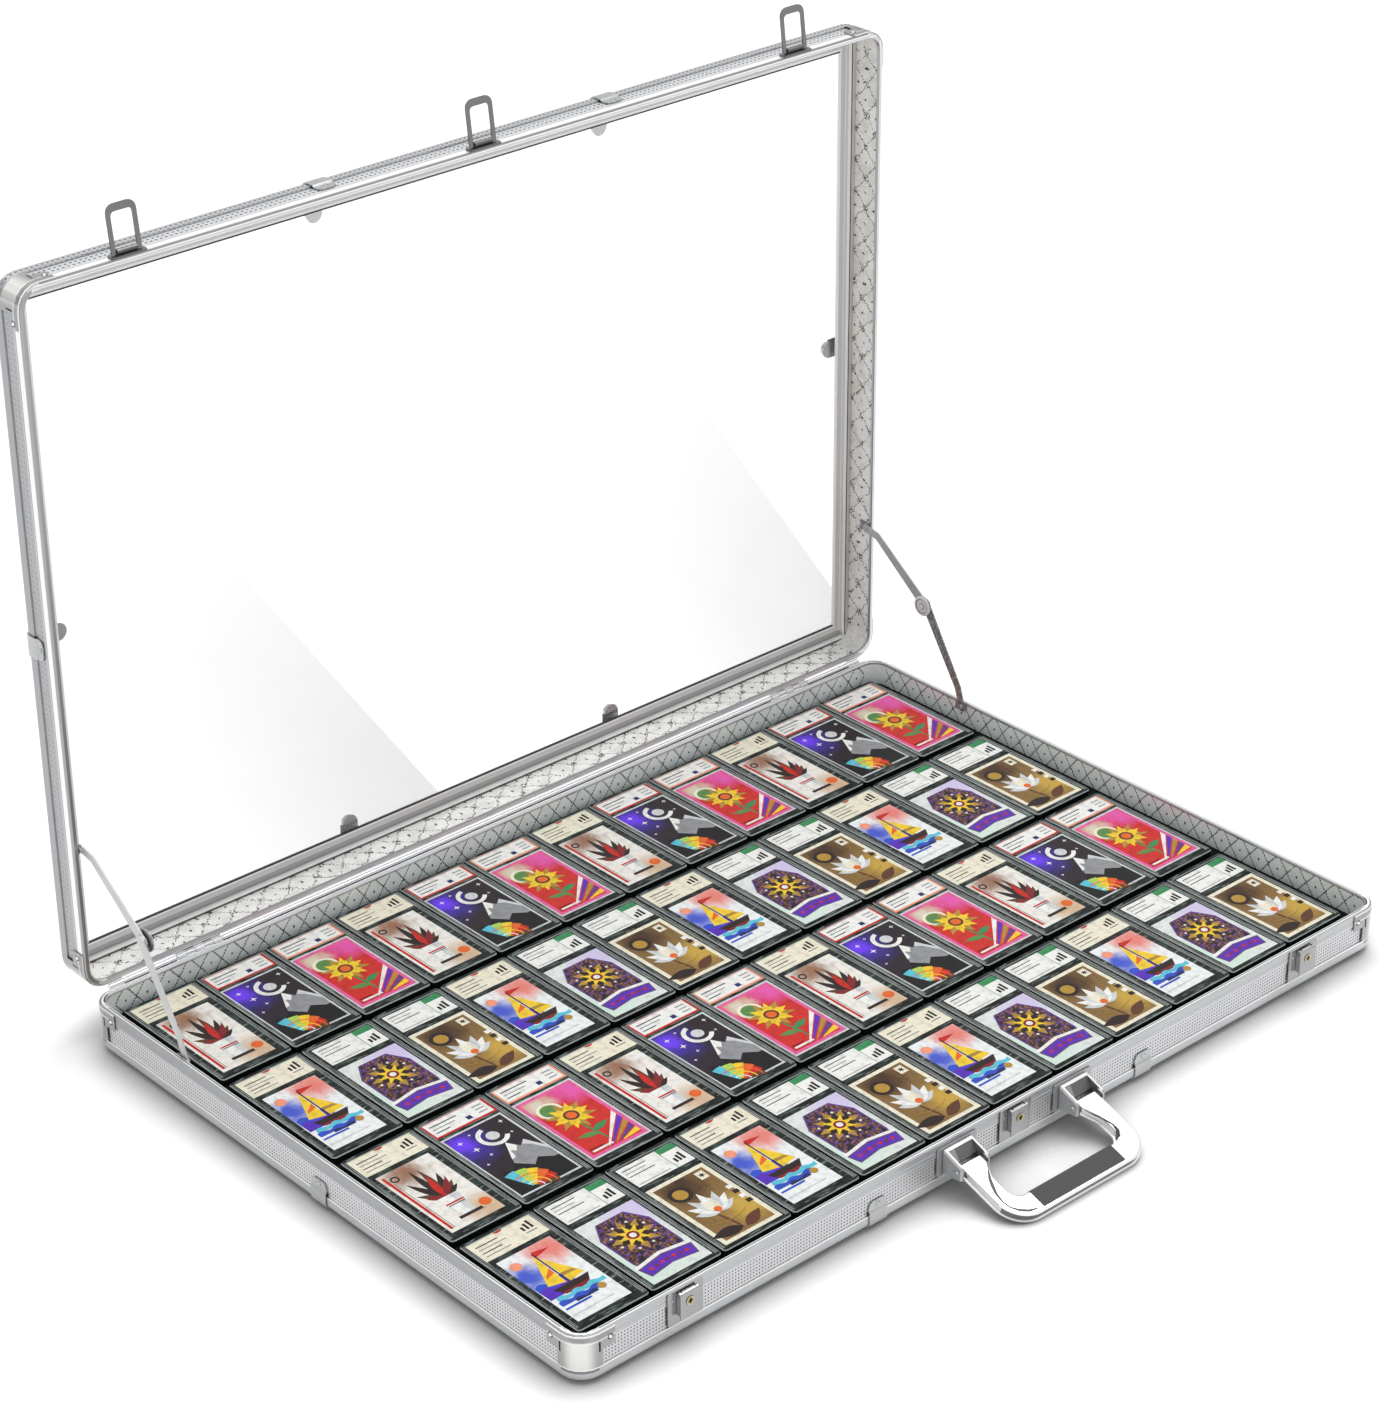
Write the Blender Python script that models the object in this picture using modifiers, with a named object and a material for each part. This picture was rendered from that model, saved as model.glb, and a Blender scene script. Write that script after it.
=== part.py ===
"""Aluminium display case for graded trading cards.

A shallow tray and a glazed lid on two rear hinges. Folding stays hold the lid upright, three keyed
latches and a drop handle sit on the front, and 48 card slabs fill the tray. The lid stands open.
"""
import math

import bmesh
import bpy
from mathutils import Matrix, Vector

MM = 0.001
GAP = 0.3 * MM

# The case from outside. The front faces -Y, and the tray's floor trim stands FOOT_HEIGHT off the table.
CASE_WIDTH = 864 * MM
CASE_DEPTH = 594 * MM
CORNER_RADIUS = 19 * MM
BASE_HEIGHT = 40.5 * MM
LID_HEIGHT = 36.2 * MM
FOOT_HEIGHT = 3 * MM
CASE_SHIFT = 16.27 * MM
OPEN_ANGLE = math.radians(90)
CORNER_STEPS = 5

# The wall's section. Insets run inwards from the trim, and depths run from the rim to the panel.
RIM_INSET = 0.6 * MM
RIM_DEPTH = 10.6 * MM
RIM_CHAMFER = 1 * MM
RIM_INNER = 5.6 * MM
RIM_LIP = 2.4 * MM
GROOVE_DEPTH = 5.6 * MM
GROOVE_WIDTH = 1.4 * MM
GROOVE_CUT = 0.35 * MM
BAND_INSET = 1.2 * MM
WALL_INNER = 4.6 * MM
TRIM_THICK = 2.3 * MM
TRIM_RADIUS = 5 * MM
TRIM_STEPS = 4
FLANGE_THICK = 1.4 * MM
FLANGE_REACH = 14 * MM
BASE_TRIM_HEIGHT = 10.8 * MM
LID_TRIM_HEIGHT = 11.8 * MM
PANEL_THICK = 3 * MM
LINER_THICK = 0.6 * MM

# The frame that holds the clear panel from inside
RAIL_REACH = 24 * MM
RAIL_THICK = 1.6 * MM
RAIL_STEP_REACH = 12 * MM
RAIL_STEP_THICK = 1.3 * MM
RAIL_BEVEL = 0.8 * MM

# The tray of slabs
TRAY_INSET = 5.8 * MM
TRAY_TOP = 19 * MM
TRAY_STEP = 0.6 * MM
FIELD_INSET = 8.5 * MM
SLAB_COLUMNS = 12
SLAB_ROWS = 4
SLAB_THICK = 6 * MM
SLAB_GAP = 2.4 * MM

# Corner guards
GUARD_THICK = 0.8 * MM
GUARD_OUT = 0.5 * MM
GUARD_TOP = 1 * MM
GUARD_ARM = 33.5 * MM
GUARD_ARM_HEIGHT = 14.5 * MM
GUARD_COVER = 22 * MM
GUARD_SLOT = 1.2 * MM
GUARD_SLOT_PLACE = 18.6 * MM
GUARD_SLOT_TOP = 8.5 * MM
RIVET_PLACE = 29 * MM
RIVET_DEPTH = 8.5 * MM
RIVET_RADIUS = 1.9 * MM
RIVET_HEIGHT = 0.8 * MM
HEAD_SHARE = 0.6

# Panel clips, which are also the feet
CLIP_WIDTH = 18 * MM
CLIP_THICK = 1 * MM
CLIP_TOP = 22 * MM
CLIP_JOG_LOW = 13 * MM
CLIP_JOG_HIGH = 14.6 * MM
CLIP_CORNER_STEPS = 3
CLIP_DISC_PLACE = 27.5 * MM
CLIP_DISC_RADIUS = 7.5 * MM
CLIP_DISC_SHARE = 0.84
CLIP_SCREW_PLACE = 18 * MM
CLIP_SCREW_RADIUS = 3 * MM
CLIP_SCREW_HEIGHT = 1.2 * MM
CLIP_OFFSET = CASE_WIDTH / 6

# Hinges
HINGE_END = 107 * MM
HINGE_OFFSET = CASE_WIDTH / 2 - HINGE_END
HINGE_WIDTH = 44 * MM
HINGE_KNUCKLES = 5
HINGE_BACK = 2.7 * MM
HINGE_LIFT = 0.2 * MM
KNUCKLE_RADIUS = 2.3 * MM
HINGE_PIN_RADIUS = 1.2 * MM
LEAF_THICK = 1.1 * MM
LEAF_HEIGHT = 15 * MM
LEAF_DROP = 1.8 * MM
LEAF_FINGER = 0.6 * MM

# Latches: plate, lever and key cylinder on the tray, bracket and loop on the lid
LATCH_END = 98.5 * MM
LATCH_OFFSET = CASE_WIDTH / 2 - LATCH_END
PLATE_WIDTH = 33 * MM
PLATE_THICK = 1 * MM
PLATE_LOW = 11.1 * MM
PLATE_HIGH = 39.7 * MM
PLATE_RADIUS = 1.5 * MM
PLATE_RIVET_PLACE = 12.6 * MM
PLATE_RIVET_HEIGHT = 33 * MM
PLATE_RIVET_RADIUS = 1.7 * MM
EAR_THICK = 1 * MM
EAR_PLACE = 6.8 * MM
EAR_DROP = 3.5 * MM
EAR_RISE = 0.9 * MM
LEVER_WIDTH = 17.8 * MM
LEVER_SKIN = 0.9 * MM
LEVER_LOW = 19.4 * MM
LEVER_OUT = 5.4 * MM
LEVER_PIVOT_OUT = 2.9 * MM
LEVER_PIVOT_HEIGHT = 37 * MM
LEVER_CROWN = 1.9 * MM
LEVER_ROOF = 0.5 * MM
LEVER_ROUND = 1.6 * MM
LEVER_CHIN = 2.6 * MM
LEVER_PIN_RADIUS = 1 * MM
KEY_RADIUS = 3.5 * MM
KEY_HEIGHT = 30.2 * MM
KEY_PROUD = 0.7 * MM
KEY_LENGTH = 3 * MM
KEYWAY_WIDTH = 0.9 * MM
KEYWAY_HEIGHT = 4.4 * MM
KEYWAY_DEPTH = 1.6 * MM
LOOP_DEPTH = 6.5 * MM
LOOP_LENGTH = 36 * MM
LOOP_WIDTH = 26.4 * MM
LOOP_STRIP = 3.7 * MM
LOOP_BAR = 6 * MM
LOOP_ROOT = 1 * MM
LOOP_THICK = 1.4 * MM
LOOP_CORNER = 7 * MM
LOOP_INNER_CORNER = 3.5 * MM
LOOP_STEPS = 4
LOOP_REST = math.radians(97)
BRACKET_WIDTH = 31 * MM
BRACKET_THICK = 0.9 * MM
BRACKET_NEAR = 1.4 * MM
BRACKET_FAR = 9.6 * MM
BRACKET_TUBE_LENGTH = 17.6 * MM
BRACKET_TUBE_OUTER = 2.3 * MM
BRACKET_TUBE_INNER = 1.55 * MM

# Handle
HANDLE_OFFSET = 62.6 * MM
MOUNT_WIDTH = 31.2 * MM
MOUNT_FLANGE = 41 * MM
MOUNT_FLANGE_THICK = 1.2 * MM
MOUNT_FLANGE_LOW = 12 * MM
MOUNT_FLANGE_HIGH = 36.6 * MM
MOUNT_CHEEK = 3 * MM
MOUNT_REACH = 21 * MM
MOUNT_TOP_IN = 34.8 * MM
MOUNT_TOP_OUT = 26.8 * MM
MOUNT_LOW_OUT = 15.5 * MM
MOUNT_LOW_IN = 12.5 * MM
MOUNT_EAR_RADIUS = 3.2 * MM
MOUNT_EAR_REACH = 1.5 * MM
EAR_SHARE = 0.8
MOUNT_WINDOW = 4 * MM
MOUNT_SHELF = 10 * MM
MOUNT_SHELF_TOP = 15 * MM
HANDLE_PIVOT_OUT = 16 * MM
HANDLE_PIVOT_HEIGHT = 20.8 * MM
HANDLE_PIN_RADIUS = 1.7 * MM
HANDLE_HALF_WIDTH = 74.9 * MM
HANDLE_ROOT = 24.6 * MM
HANDLE_ARM = 18 * MM
HANDLE_REACH = 64 * MM
HANDLE_GRIP = 22 * MM
HANDLE_THICK = 8 * MM
HANDLE_BEVEL = 2.6 * MM
HANDLE_HEEL = 4.6 * MM
HANDLE_OUTER_CORNER = 26 * MM
HANDLE_INNER_CORNER = 9 * MM
HANDLE_TAPER = 14 * MM
HANDLE_STEPS = 6
HANDLE_DROOP = math.radians(18.2)
GRIP_LENGTH = 88 * MM
GRIP_WIDTH = 17.5 * MM
GRIP_RAISE = 0.5 * MM

# Folding stays, in the plane of each side wall. Their pivots are given forwards from the case's back
# and upwards from the tray's rim, with the lid open. The links are broadest at the elbow.
STAY_FOOT_FORWARD = 119.6 * MM
STAY_FOOT_RISE = -4.5 * MM
STAY_ELBOW_FORWARD = 71 * MM
STAY_ELBOW_RISE = 80.9 * MM
STAY_LID_ALONG = 130 * MM
STAY_LID_DEPTH = 2.5 * MM
STAY_PLATE_INSET = 5.8 * MM
STAY_PLATE_THICK = 0.8 * MM
STAY_PLATE_RADIUS = 4.4 * MM
STAY_PLATE_LENGTH = 9 * MM
STAY_LOWER_INSET = 6.9 * MM
STAY_UPPER_INSET = 8.6 * MM
STAY_LINK_THICK = 1.4 * MM
STAY_ELBOW_HALF = 4.7 * MM
STAY_ELBOW_RADIUS = 5.6 * MM
STAY_END_HALF = 3.3 * MM
STAY_END_RADIUS = 4 * MM
STAY_LOWER_KNEE = (19 * MM, 3.6 * MM)
STAY_UPPER_KNEE = (77.4 * MM, 5.6 * MM)
STAY_PIN_RADIUS = 1.9 * MM
STAY_HEAD_RADIUS = 3.6 * MM
STAY_RIVET_RADIUS = 5.2 * MM
STAY_HEAD_HEIGHT = 1.6 * MM
STAY_HEAD_SHARE = 0.55
ARC_STEPS = 6

FRONT = CASE_SHIFT - CASE_DEPTH / 2
BACK = CASE_SHIFT + CASE_DEPTH / 2
RIM_Z = FOOT_HEIGHT + BASE_HEIGHT
LID_RIM_Z = RIM_Z + 2 * HINGE_LIFT
LID_TOP_Z = LID_RIM_Z + LID_HEIGHT
HINGE_Y = BACK + HINGE_BACK
HINGE_Z = RIM_Z + HINGE_LIFT

ALUMINIUM = ("aluminium", (0.70, 0.71, 0.72), 0.35, 1.0)
STEEL = ("steel", (0.42, 0.42, 0.43), 0.30, 1.0)
CHROME = ("chrome", (0.85, 0.85, 0.86), 0.08, 1.0)
BRASS = ("brass", (0.55, 0.45, 0.25), 0.30, 1.0)
LINING = ("lining", (0.62, 0.62, 0.60), 0.80, 0.0)
PLASTIC = ("plastic", (0.55, 0.55, 0.55), 0.40, 0.0)
CLEAR = ("clear", (0.95, 0.97, 0.97), 0.05, 0.0)
FOAM = ("foam", (0.02, 0.02, 0.02), 0.60, 0.0)

for old in list(bpy.data.objects):
    bpy.data.objects.remove(old)

PARTS = bpy.data.collections.new("trading_card_display_case")
CUTTERS = bpy.data.collections.new("cutters")
bpy.context.scene.collection.children.link(PARTS)
bpy.context.scene.collection.children.link(CUTTERS)


def material_for(piece, finish):
    """Give a piece its own Principled material."""
    _, colour, roughness, metallic = finish
    material = bpy.data.materials.new(piece.name)
    material.use_nodes = True
    shader = material.node_tree.nodes["Principled BSDF"]
    shader.inputs["Base Color"].default_value = (*colour, 1.0)
    shader.inputs["Roughness"].default_value = roughness
    shader.inputs["Metallic"].default_value = metallic
    piece.data.materials.clear()
    piece.data.materials.append(material)


def link(mesh, name, collection):
    piece = bpy.data.objects.new(name, mesh)
    collection.objects.link(piece)
    return piece


def circle_arc(centre, radius, start, stop, steps):
    """Points on an arc, both ends included; angles in degrees."""
    points = []
    for step in range(steps + 1):
        angle = math.radians(start + (stop - start) * step / steps)
        points.append((centre[0] + radius * math.cos(angle), centre[1] + radius * math.sin(angle)))
    return points


def rounded_rectangle(low, high, radius, steps):
    """A rounded rectangle between two corners, anticlockwise."""
    quarters = (
        ((high[0] - radius, low[1] + radius), -90),
        ((high[0] - radius, high[1] - radius), 0),
        ((low[0] + radius, high[1] - radius), 90),
        ((low[0] + radius, low[1] + radius), 180),
    )
    points = []
    for centre, start in quarters:
        points += circle_arc(centre, radius, start, start + 90, steps)
    return points


def case_outline(inset):
    """The case's plan outline, moved inwards by the inset."""
    low = (-CASE_WIDTH / 2 + inset, FRONT + inset)
    high = (CASE_WIDTH / 2 - inset, BACK - inset)
    return rounded_rectangle(low, high, CORNER_RADIUS - inset, CORNER_STEPS)


def curve_object(outlines, name="outline"):
    """A flat 2D curve with one closed straight-sided spline per outline."""
    data = bpy.data.curves.new(name, "CURVE")
    data.dimensions = "2D"
    for outline in outlines:
        spline = data.splines.new("POLY")
        spline.points.add(len(outline) - 1)
        for point, (x, y) in zip(spline.points, outline):
            point.co = (x, y, 0, 1)
        spline.use_cyclic_u = True
    return link(data, name, PARTS)


def mesh_from(source, name):
    """The evaluated mesh of an object with its caps welded, and the source removed."""
    bpy.context.view_layer.update()
    graph = bpy.context.evaluated_depsgraph_get()
    mesh = bpy.data.meshes.new_from_object(source.evaluated_get(graph))
    mesh.transform(source.matrix_world)
    mesh.name = name
    form = bmesh.new()
    form.from_mesh(mesh)
    bmesh.ops.remove_doubles(form, verts=form.verts, dist=0.01 * MM)
    bmesh.ops.recalc_face_normals(form, faces=form.faces)
    form.to_mesh(mesh)
    form.free()
    bpy.data.objects.remove(source)
    return mesh


PLAN = Matrix.Identity(4)
SIDE = Matrix(((0, 0, 1, 0), (1, 0, 0, 0), (0, 1, 0, 0), (0, 0, 0, 1)))
FACE = Matrix(((1, 0, 0, 0), (0, 0, -1, 0), (0, 1, 0, 0), (0, 0, 0, 1)))


def extrusion(name, outlines, plane, start, stop):
    """A flat outline with a thickness: PLAN runs along Z, SIDE along X, FACE along -Y."""
    curve = curve_object(outlines)
    curve.data.fill_mode = "BOTH"
    curve.data.extrude = (stop - start) / 2
    middle = Matrix.Translation((0, 0, (start + stop) / 2))
    curve.matrix_world = plane @ middle
    return link(mesh_from(curve, name), name, PARTS)


def swept_ring(name, section, path):
    """A closed section carried round a closed plan path. The section's X runs inwards, its Y up."""
    guide = curve_object([path])
    profile = curve_object([section])
    guide.data.bevel_mode = "OBJECT"
    guide.data.bevel_object = profile
    mesh = mesh_from(guide, name)
    bpy.data.objects.remove(profile)
    return link(mesh, name, PARTS)


def cylinder(name, radius, start, stop, steps=10):
    """A capped cylinder between two points."""
    start = Vector(start)
    stop = Vector(stop)
    span = stop - start
    form = bmesh.new()
    bmesh.ops.create_cone(
        form, cap_ends=True, segments=steps, radius1=radius, radius2=radius, depth=span.length)
    mesh = bpy.data.meshes.new(name)
    form.to_mesh(mesh)
    form.free()
    turn = span.to_track_quat("Z", "Y").to_matrix().to_4x4()
    mesh.transform(Matrix.Translation((start + stop) / 2) @ turn)
    return link(mesh, name, PARTS)


def dome(name, radius, top_share, start, stop, steps=8):
    """A rivet or screw head: a short cone between its seat and its crown."""
    start = Vector(start)
    stop = Vector(stop)
    span = stop - start
    form = bmesh.new()
    crown = radius * top_share
    bmesh.ops.create_cone(
        form, cap_ends=True, segments=steps, radius1=radius, radius2=crown, depth=span.length)
    mesh = bpy.data.meshes.new(name)
    form.to_mesh(mesh)
    form.free()
    turn = span.to_track_quat("Z", "Y").to_matrix().to_4x4()
    mesh.transform(Matrix.Translation((start + stop) / 2) @ turn)
    return link(mesh, name, PARTS)


def box(name, low, high):
    """A box between two corners."""
    low = Vector(low)
    high = Vector(high)
    form = bmesh.new()
    bmesh.ops.create_cube(form, size=1)
    mesh = bpy.data.meshes.new(name)
    form.to_mesh(mesh)
    form.free()
    size = Matrix.Diagonal((*(high - low), 1))
    mesh.transform(Matrix.Translation((low + high) / 2) @ size)
    return link(mesh, name, PARTS)


def combine(piece, others, operation):
    """Join the others to the piece, or cut them from it, and drop them."""
    for other in others:
        CUTTERS.objects.link(other)
        PARTS.objects.unlink(other)
        modifier = piece.modifiers.new(operation.lower(), "BOOLEAN")
        modifier.operation = operation
        modifier.solver = "EXACT"
        modifier.object = other
    name = piece.name
    mesh = mesh_from(piece, name)
    for other in others:
        bpy.data.objects.remove(other)
    return link(mesh, name, PARTS)


def bevel(piece, width, angle=40, segments=2):
    """Round a piece's sharp edges and keep the result as its mesh."""
    modifier = piece.modifiers.new("bevel", "BEVEL")
    modifier.width = width
    modifier.segments = segments
    modifier.limit_method = "ANGLE"
    modifier.angle_limit = math.radians(angle)
    name = piece.name
    return link(mesh_from(piece, name), name, PARTS)


def finish(piece, look, origin=(0, 0, 0), turn=None, parent=None):
    """Set a finished piece's look, origin, turn about that origin and parent."""
    origin = Vector(origin)
    piece.data.transform(Matrix.Translation(-origin))
    piece.data.shade_smooth()
    piece.data.set_sharp_from_angle(angle=math.radians(30))
    place = Matrix.Translation(origin)
    if turn is not None:
        place = place @ turn
    if parent is not None:
        piece.parent = parent
        piece.matrix_parent_inverse = Matrix.Translation(parent.location).inverted()
    piece.matrix_basis = place
    material_for(piece, look)
    return piece


def copy_of(piece, name, place, look, parent=None):
    """Another object on the same mesh, placed by a matrix."""
    other = link(piece.data.copy(), name, PARTS)
    if parent is not None:
        other.parent = parent
        other.matrix_parent_inverse = Matrix.Translation(parent.location).inverted()
    other.matrix_basis = place
    material_for(other, look)
    return other


# The lid is drawn closed. This empty lies on the hinges' axis and turns it upright.
lid_pivot = bpy.data.objects.new("lid_pivot", None)
PARTS.objects.link(lid_pivot)
lid_pivot.location = (0, HINGE_Y, HINGE_Z)
lid_pivot.rotation_euler = (-OPEN_ANGLE, 0, 0)


def wall_section(height, trim_height, wall_end, sign, rim_z):
    """The wall extrusion: a grooved rim, a recessed band and a tail behind the trim."""
    band_end = height - trim_height - GAP
    groove_side = GROOVE_DEPTH + GROOVE_CUT
    groove_end = GROOVE_DEPTH + GROOVE_WIDTH
    shape = [
        (RIM_INSET + RIM_CHAMFER, 0),
        (RIM_INSET, RIM_CHAMFER),
        (RIM_INSET, GROOVE_DEPTH),
        (RIM_INSET + GROOVE_CUT, groove_side),
        (RIM_INSET + GROOVE_CUT, groove_end - GROOVE_CUT),
        (RIM_INSET, groove_end),
        (RIM_INSET, RIM_DEPTH),
        (BAND_INSET, RIM_DEPTH + BAND_INSET - RIM_INSET),
        (BAND_INSET, band_end),
        (TRIM_THICK + GAP, band_end),
        (TRIM_THICK + GAP, wall_end),
        (WALL_INNER, wall_end),
        (WALL_INNER, RIM_LIP),
        (RIM_INNER, RIM_LIP),
        (RIM_INNER, RIM_CHAMFER),
        (RIM_INNER - RIM_CHAMFER, 0),
    ]
    return [(inset, rim_z + sign * depth) for inset, depth in shape]


def trim_section(height, trim_height, sign, rim_z):
    """The edge trim: a leg over the wall's tail, a rounded edge and a flange over the panel."""
    centre = (TRIM_RADIUS, height - TRIM_RADIUS)
    shape = [(TRIM_THICK, height - trim_height), (0, height - trim_height)]
    shape += circle_arc(centre, TRIM_RADIUS, 180, 90, TRIM_STEPS)
    shape += [
        (FLANGE_REACH, height),
        (FLANGE_REACH, height - FLANGE_THICK),
        (TRIM_THICK, height - FLANGE_THICK),
    ]
    return [(inset, rim_z + sign * depth) for inset, depth in shape]


def liner_section(top, bottom, sign, rim_z):
    near = WALL_INNER + GAP
    shape = [(near, top), (near + LINER_THICK, top), (near + LINER_THICK, bottom), (near, bottom)]
    return [(inset, rim_z + sign * depth) for inset, depth in shape]


# Tray: wall, trim, floor panel, liner
base_panel_depth = BASE_HEIGHT - FLANGE_THICK - GAP - PANEL_THICK
base_wall_end = base_panel_depth - GAP
base_wall = swept_ring(
    "base_wall", wall_section(BASE_HEIGHT, BASE_TRIM_HEIGHT, base_wall_end, -1, RIM_Z), case_outline(0))
base_trim = swept_ring("base_trim", trim_section(BASE_HEIGHT, BASE_TRIM_HEIGHT, -1, RIM_Z), case_outline(0))
base_liner = swept_ring(
    "base_liner", liner_section(RIM_LIP + GAP, base_wall_end, -1, RIM_Z), case_outline(0))
panel_inset = TRIM_THICK + GAP
base_floor = extrusion(
    "base_floor", [case_outline(panel_inset)], PLAN,
    RIM_Z - base_panel_depth - PANEL_THICK, RIM_Z - base_panel_depth)
finish(base_wall, ALUMINIUM)
finish(base_trim, ALUMINIUM)
finish(base_liner, LINING)
finish(base_floor, PLASTIC)

# Lid: wall, trim, liner, clear panel and the inner frame that holds it
lid_panel_depth = LID_HEIGHT - FLANGE_THICK - GAP - PANEL_THICK
lid_wall_end = lid_panel_depth - GAP
lid_wall = swept_ring(
    "lid_wall", wall_section(LID_HEIGHT, LID_TRIM_HEIGHT, lid_wall_end, 1, LID_RIM_Z), case_outline(0))
lid_trim = swept_ring("lid_trim", trim_section(LID_HEIGHT, LID_TRIM_HEIGHT, 1, LID_RIM_Z), case_outline(0))
rail_depth = lid_wall_end - RAIL_THICK
lid_liner_end = rail_depth - RAIL_STEP_THICK - GAP
lid_liner = swept_ring(
    "lid_liner", liner_section(RIM_LIP + GAP, lid_liner_end, 1, LID_RIM_Z), case_outline(0))
lid_panel = extrusion(
    "lid_panel", [case_outline(panel_inset)], PLAN,
    LID_RIM_Z + lid_panel_depth, LID_RIM_Z + lid_panel_depth + PANEL_THICK)
rail_inset = WALL_INNER + GAP
rail_low = (-CASE_WIDTH / 2 + RAIL_REACH, FRONT + RAIL_REACH)
rail_high = (CASE_WIDTH / 2 - RAIL_REACH, BACK - RAIL_REACH)
rail_hole = [rail_low, (rail_low[0], rail_high[1]), rail_high, (rail_high[0], rail_low[1])]
lid_rail = extrusion(
    "lid_rail", [case_outline(rail_inset), rail_hole], PLAN,
    LID_RIM_Z + rail_depth, LID_RIM_Z + lid_wall_end)
rail_step = extrusion(
    "rail_step", [case_outline(rail_inset), case_outline(RAIL_STEP_REACH)], PLAN,
    LID_RIM_Z + rail_depth - RAIL_STEP_THICK, LID_RIM_Z + rail_depth + RAIL_THICK / 2)
lid_rail = combine(lid_rail, [rail_step], "UNION")
lid_looks = (
    (lid_wall, ALUMINIUM), (lid_trim, ALUMINIUM), (lid_liner, LINING),
    (lid_panel, CLEAR), (lid_rail, PLASTIC))
for piece, look in lid_looks:
    finish(piece, look, parent=lid_pivot)

# Card slabs, moulded as one insert: each cell of a grid is inset for its gap and raised
field_half_width = CASE_WIDTH / 2 - FIELD_INSET
field_half_depth = CASE_DEPTH / 2 - FIELD_INSET
form = bmesh.new()
bmesh.ops.create_grid(form, x_segments=SLAB_COLUMNS, y_segments=SLAB_ROWS, size=1)
bmesh.ops.scale(form, vec=(field_half_width, field_half_depth, 1), verts=form.verts)
bmesh.ops.translate(form, vec=(0, CASE_SHIFT, FOOT_HEIGHT + TRAY_TOP), verts=form.verts)
cells = list(form.faces)
bottom = bmesh.ops.extrude_face_region(form, geom=cells, use_keep_orig=True)
lower = [item for item in bottom["geom"] if isinstance(item, bmesh.types.BMVert)]
tray_bottom = RIM_Z - base_panel_depth + GAP
bmesh.ops.translate(form, vec=(0, 0, tray_bottom - FOOT_HEIGHT - TRAY_TOP), verts=lower)
bmesh.ops.recalc_face_normals(form, faces=form.faces)
top_height = FOOT_HEIGHT + TRAY_TOP
tops = [face for face in form.faces if abs(face.calc_center_median().z - top_height) < GAP / 2]
bmesh.ops.inset_individual(form, faces=tops, thickness=SLAB_GAP / 2)
raised = bmesh.ops.extrude_discrete_faces(form, faces=tops)["faces"]
for face in raised:
    bmesh.ops.translate(form, vec=(0, 0, SLAB_THICK), verts=face.verts)
bmesh.ops.recalc_face_normals(form, faces=form.faces)
tray_mesh = bpy.data.meshes.new("card_tray")
form.to_mesh(tray_mesh)
form.free()
card_tray = link(tray_mesh, "card_tray", PARTS)
keep = extrusion("keep", [case_outline(TRAY_INSET)], PLAN, 0, RIM_Z)
card_tray = combine(card_tray, [keep], "INTERSECT")
insert = extrusion(
    "insert", [case_outline(TRAY_INSET)], PLAN, tray_bottom + TRAY_STEP, FOOT_HEIGHT + TRAY_TOP - TRAY_STEP)
card_tray = combine(card_tray, [insert], "UNION")
finish(card_tray, FOAM)


def corner_guard(name, height):
    """A pressed corner guard about its own arc centre, with the rim at Z = 0 and the wall below it."""
    outer = CORNER_RADIUS + GUARD_OUT
    inner = outer - GUARD_THICK
    arm = GUARD_ARM - CORNER_RADIUS
    outline = [(arm, -outer)]
    outline += [(0, -outer)]
    outline += circle_arc((0, 0), outer, 270, 180, CORNER_STEPS)[1:]
    outline += [(-outer, arm), (-inner, arm)]
    outline += circle_arc((0, 0), inner, 180, 270, CORNER_STEPS)
    outline += [(arm, -inner)]
    guard = extrusion(name, [outline], PLAN, -height, -GUARD_TOP)
    cover = GUARD_COVER - CORNER_RADIUS
    arm_low = -GUARD_TOP - GUARD_ARM_HEIGHT
    reach = arm + GUARD_THICK
    deep = outer + GUARD_THICK
    slot = GUARD_SLOT_PLACE - CORNER_RADIUS
    cutters = [
        box("arm_cut_x", (cover, -deep, -height - GUARD_THICK), (reach, 0, arm_low)),
        box("arm_cut_y", (-deep, cover, -height - GUARD_THICK), (0, reach, arm_low)),
        box("slot_x", (slot, -deep, arm_low - GUARD_SLOT), (slot + GUARD_SLOT, -inner / 2, -GUARD_SLOT_TOP)),
        box("slot_y", (-deep, slot, arm_low - GUARD_SLOT), (-inner / 2, slot + GUARD_SLOT, -GUARD_SLOT_TOP)),
    ]
    guard = combine(guard, cutters, "DIFFERENCE")
    rivet = RIVET_PLACE - CORNER_RADIUS
    seat = inner + GUARD_THICK / 2
    crown = outer + RIVET_HEIGHT
    low = -RIVET_DEPTH
    rivets = [
        dome("rivet_x", RIVET_RADIUS, HEAD_SHARE, (rivet, -seat, low), (rivet, -crown, low), 6),
        dome("rivet_y", RIVET_RADIUS, HEAD_SHARE, (-seat, rivet, low), (-crown, rivet, low), 6),
    ]
    return combine(guard, rivets, "UNION")


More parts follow.
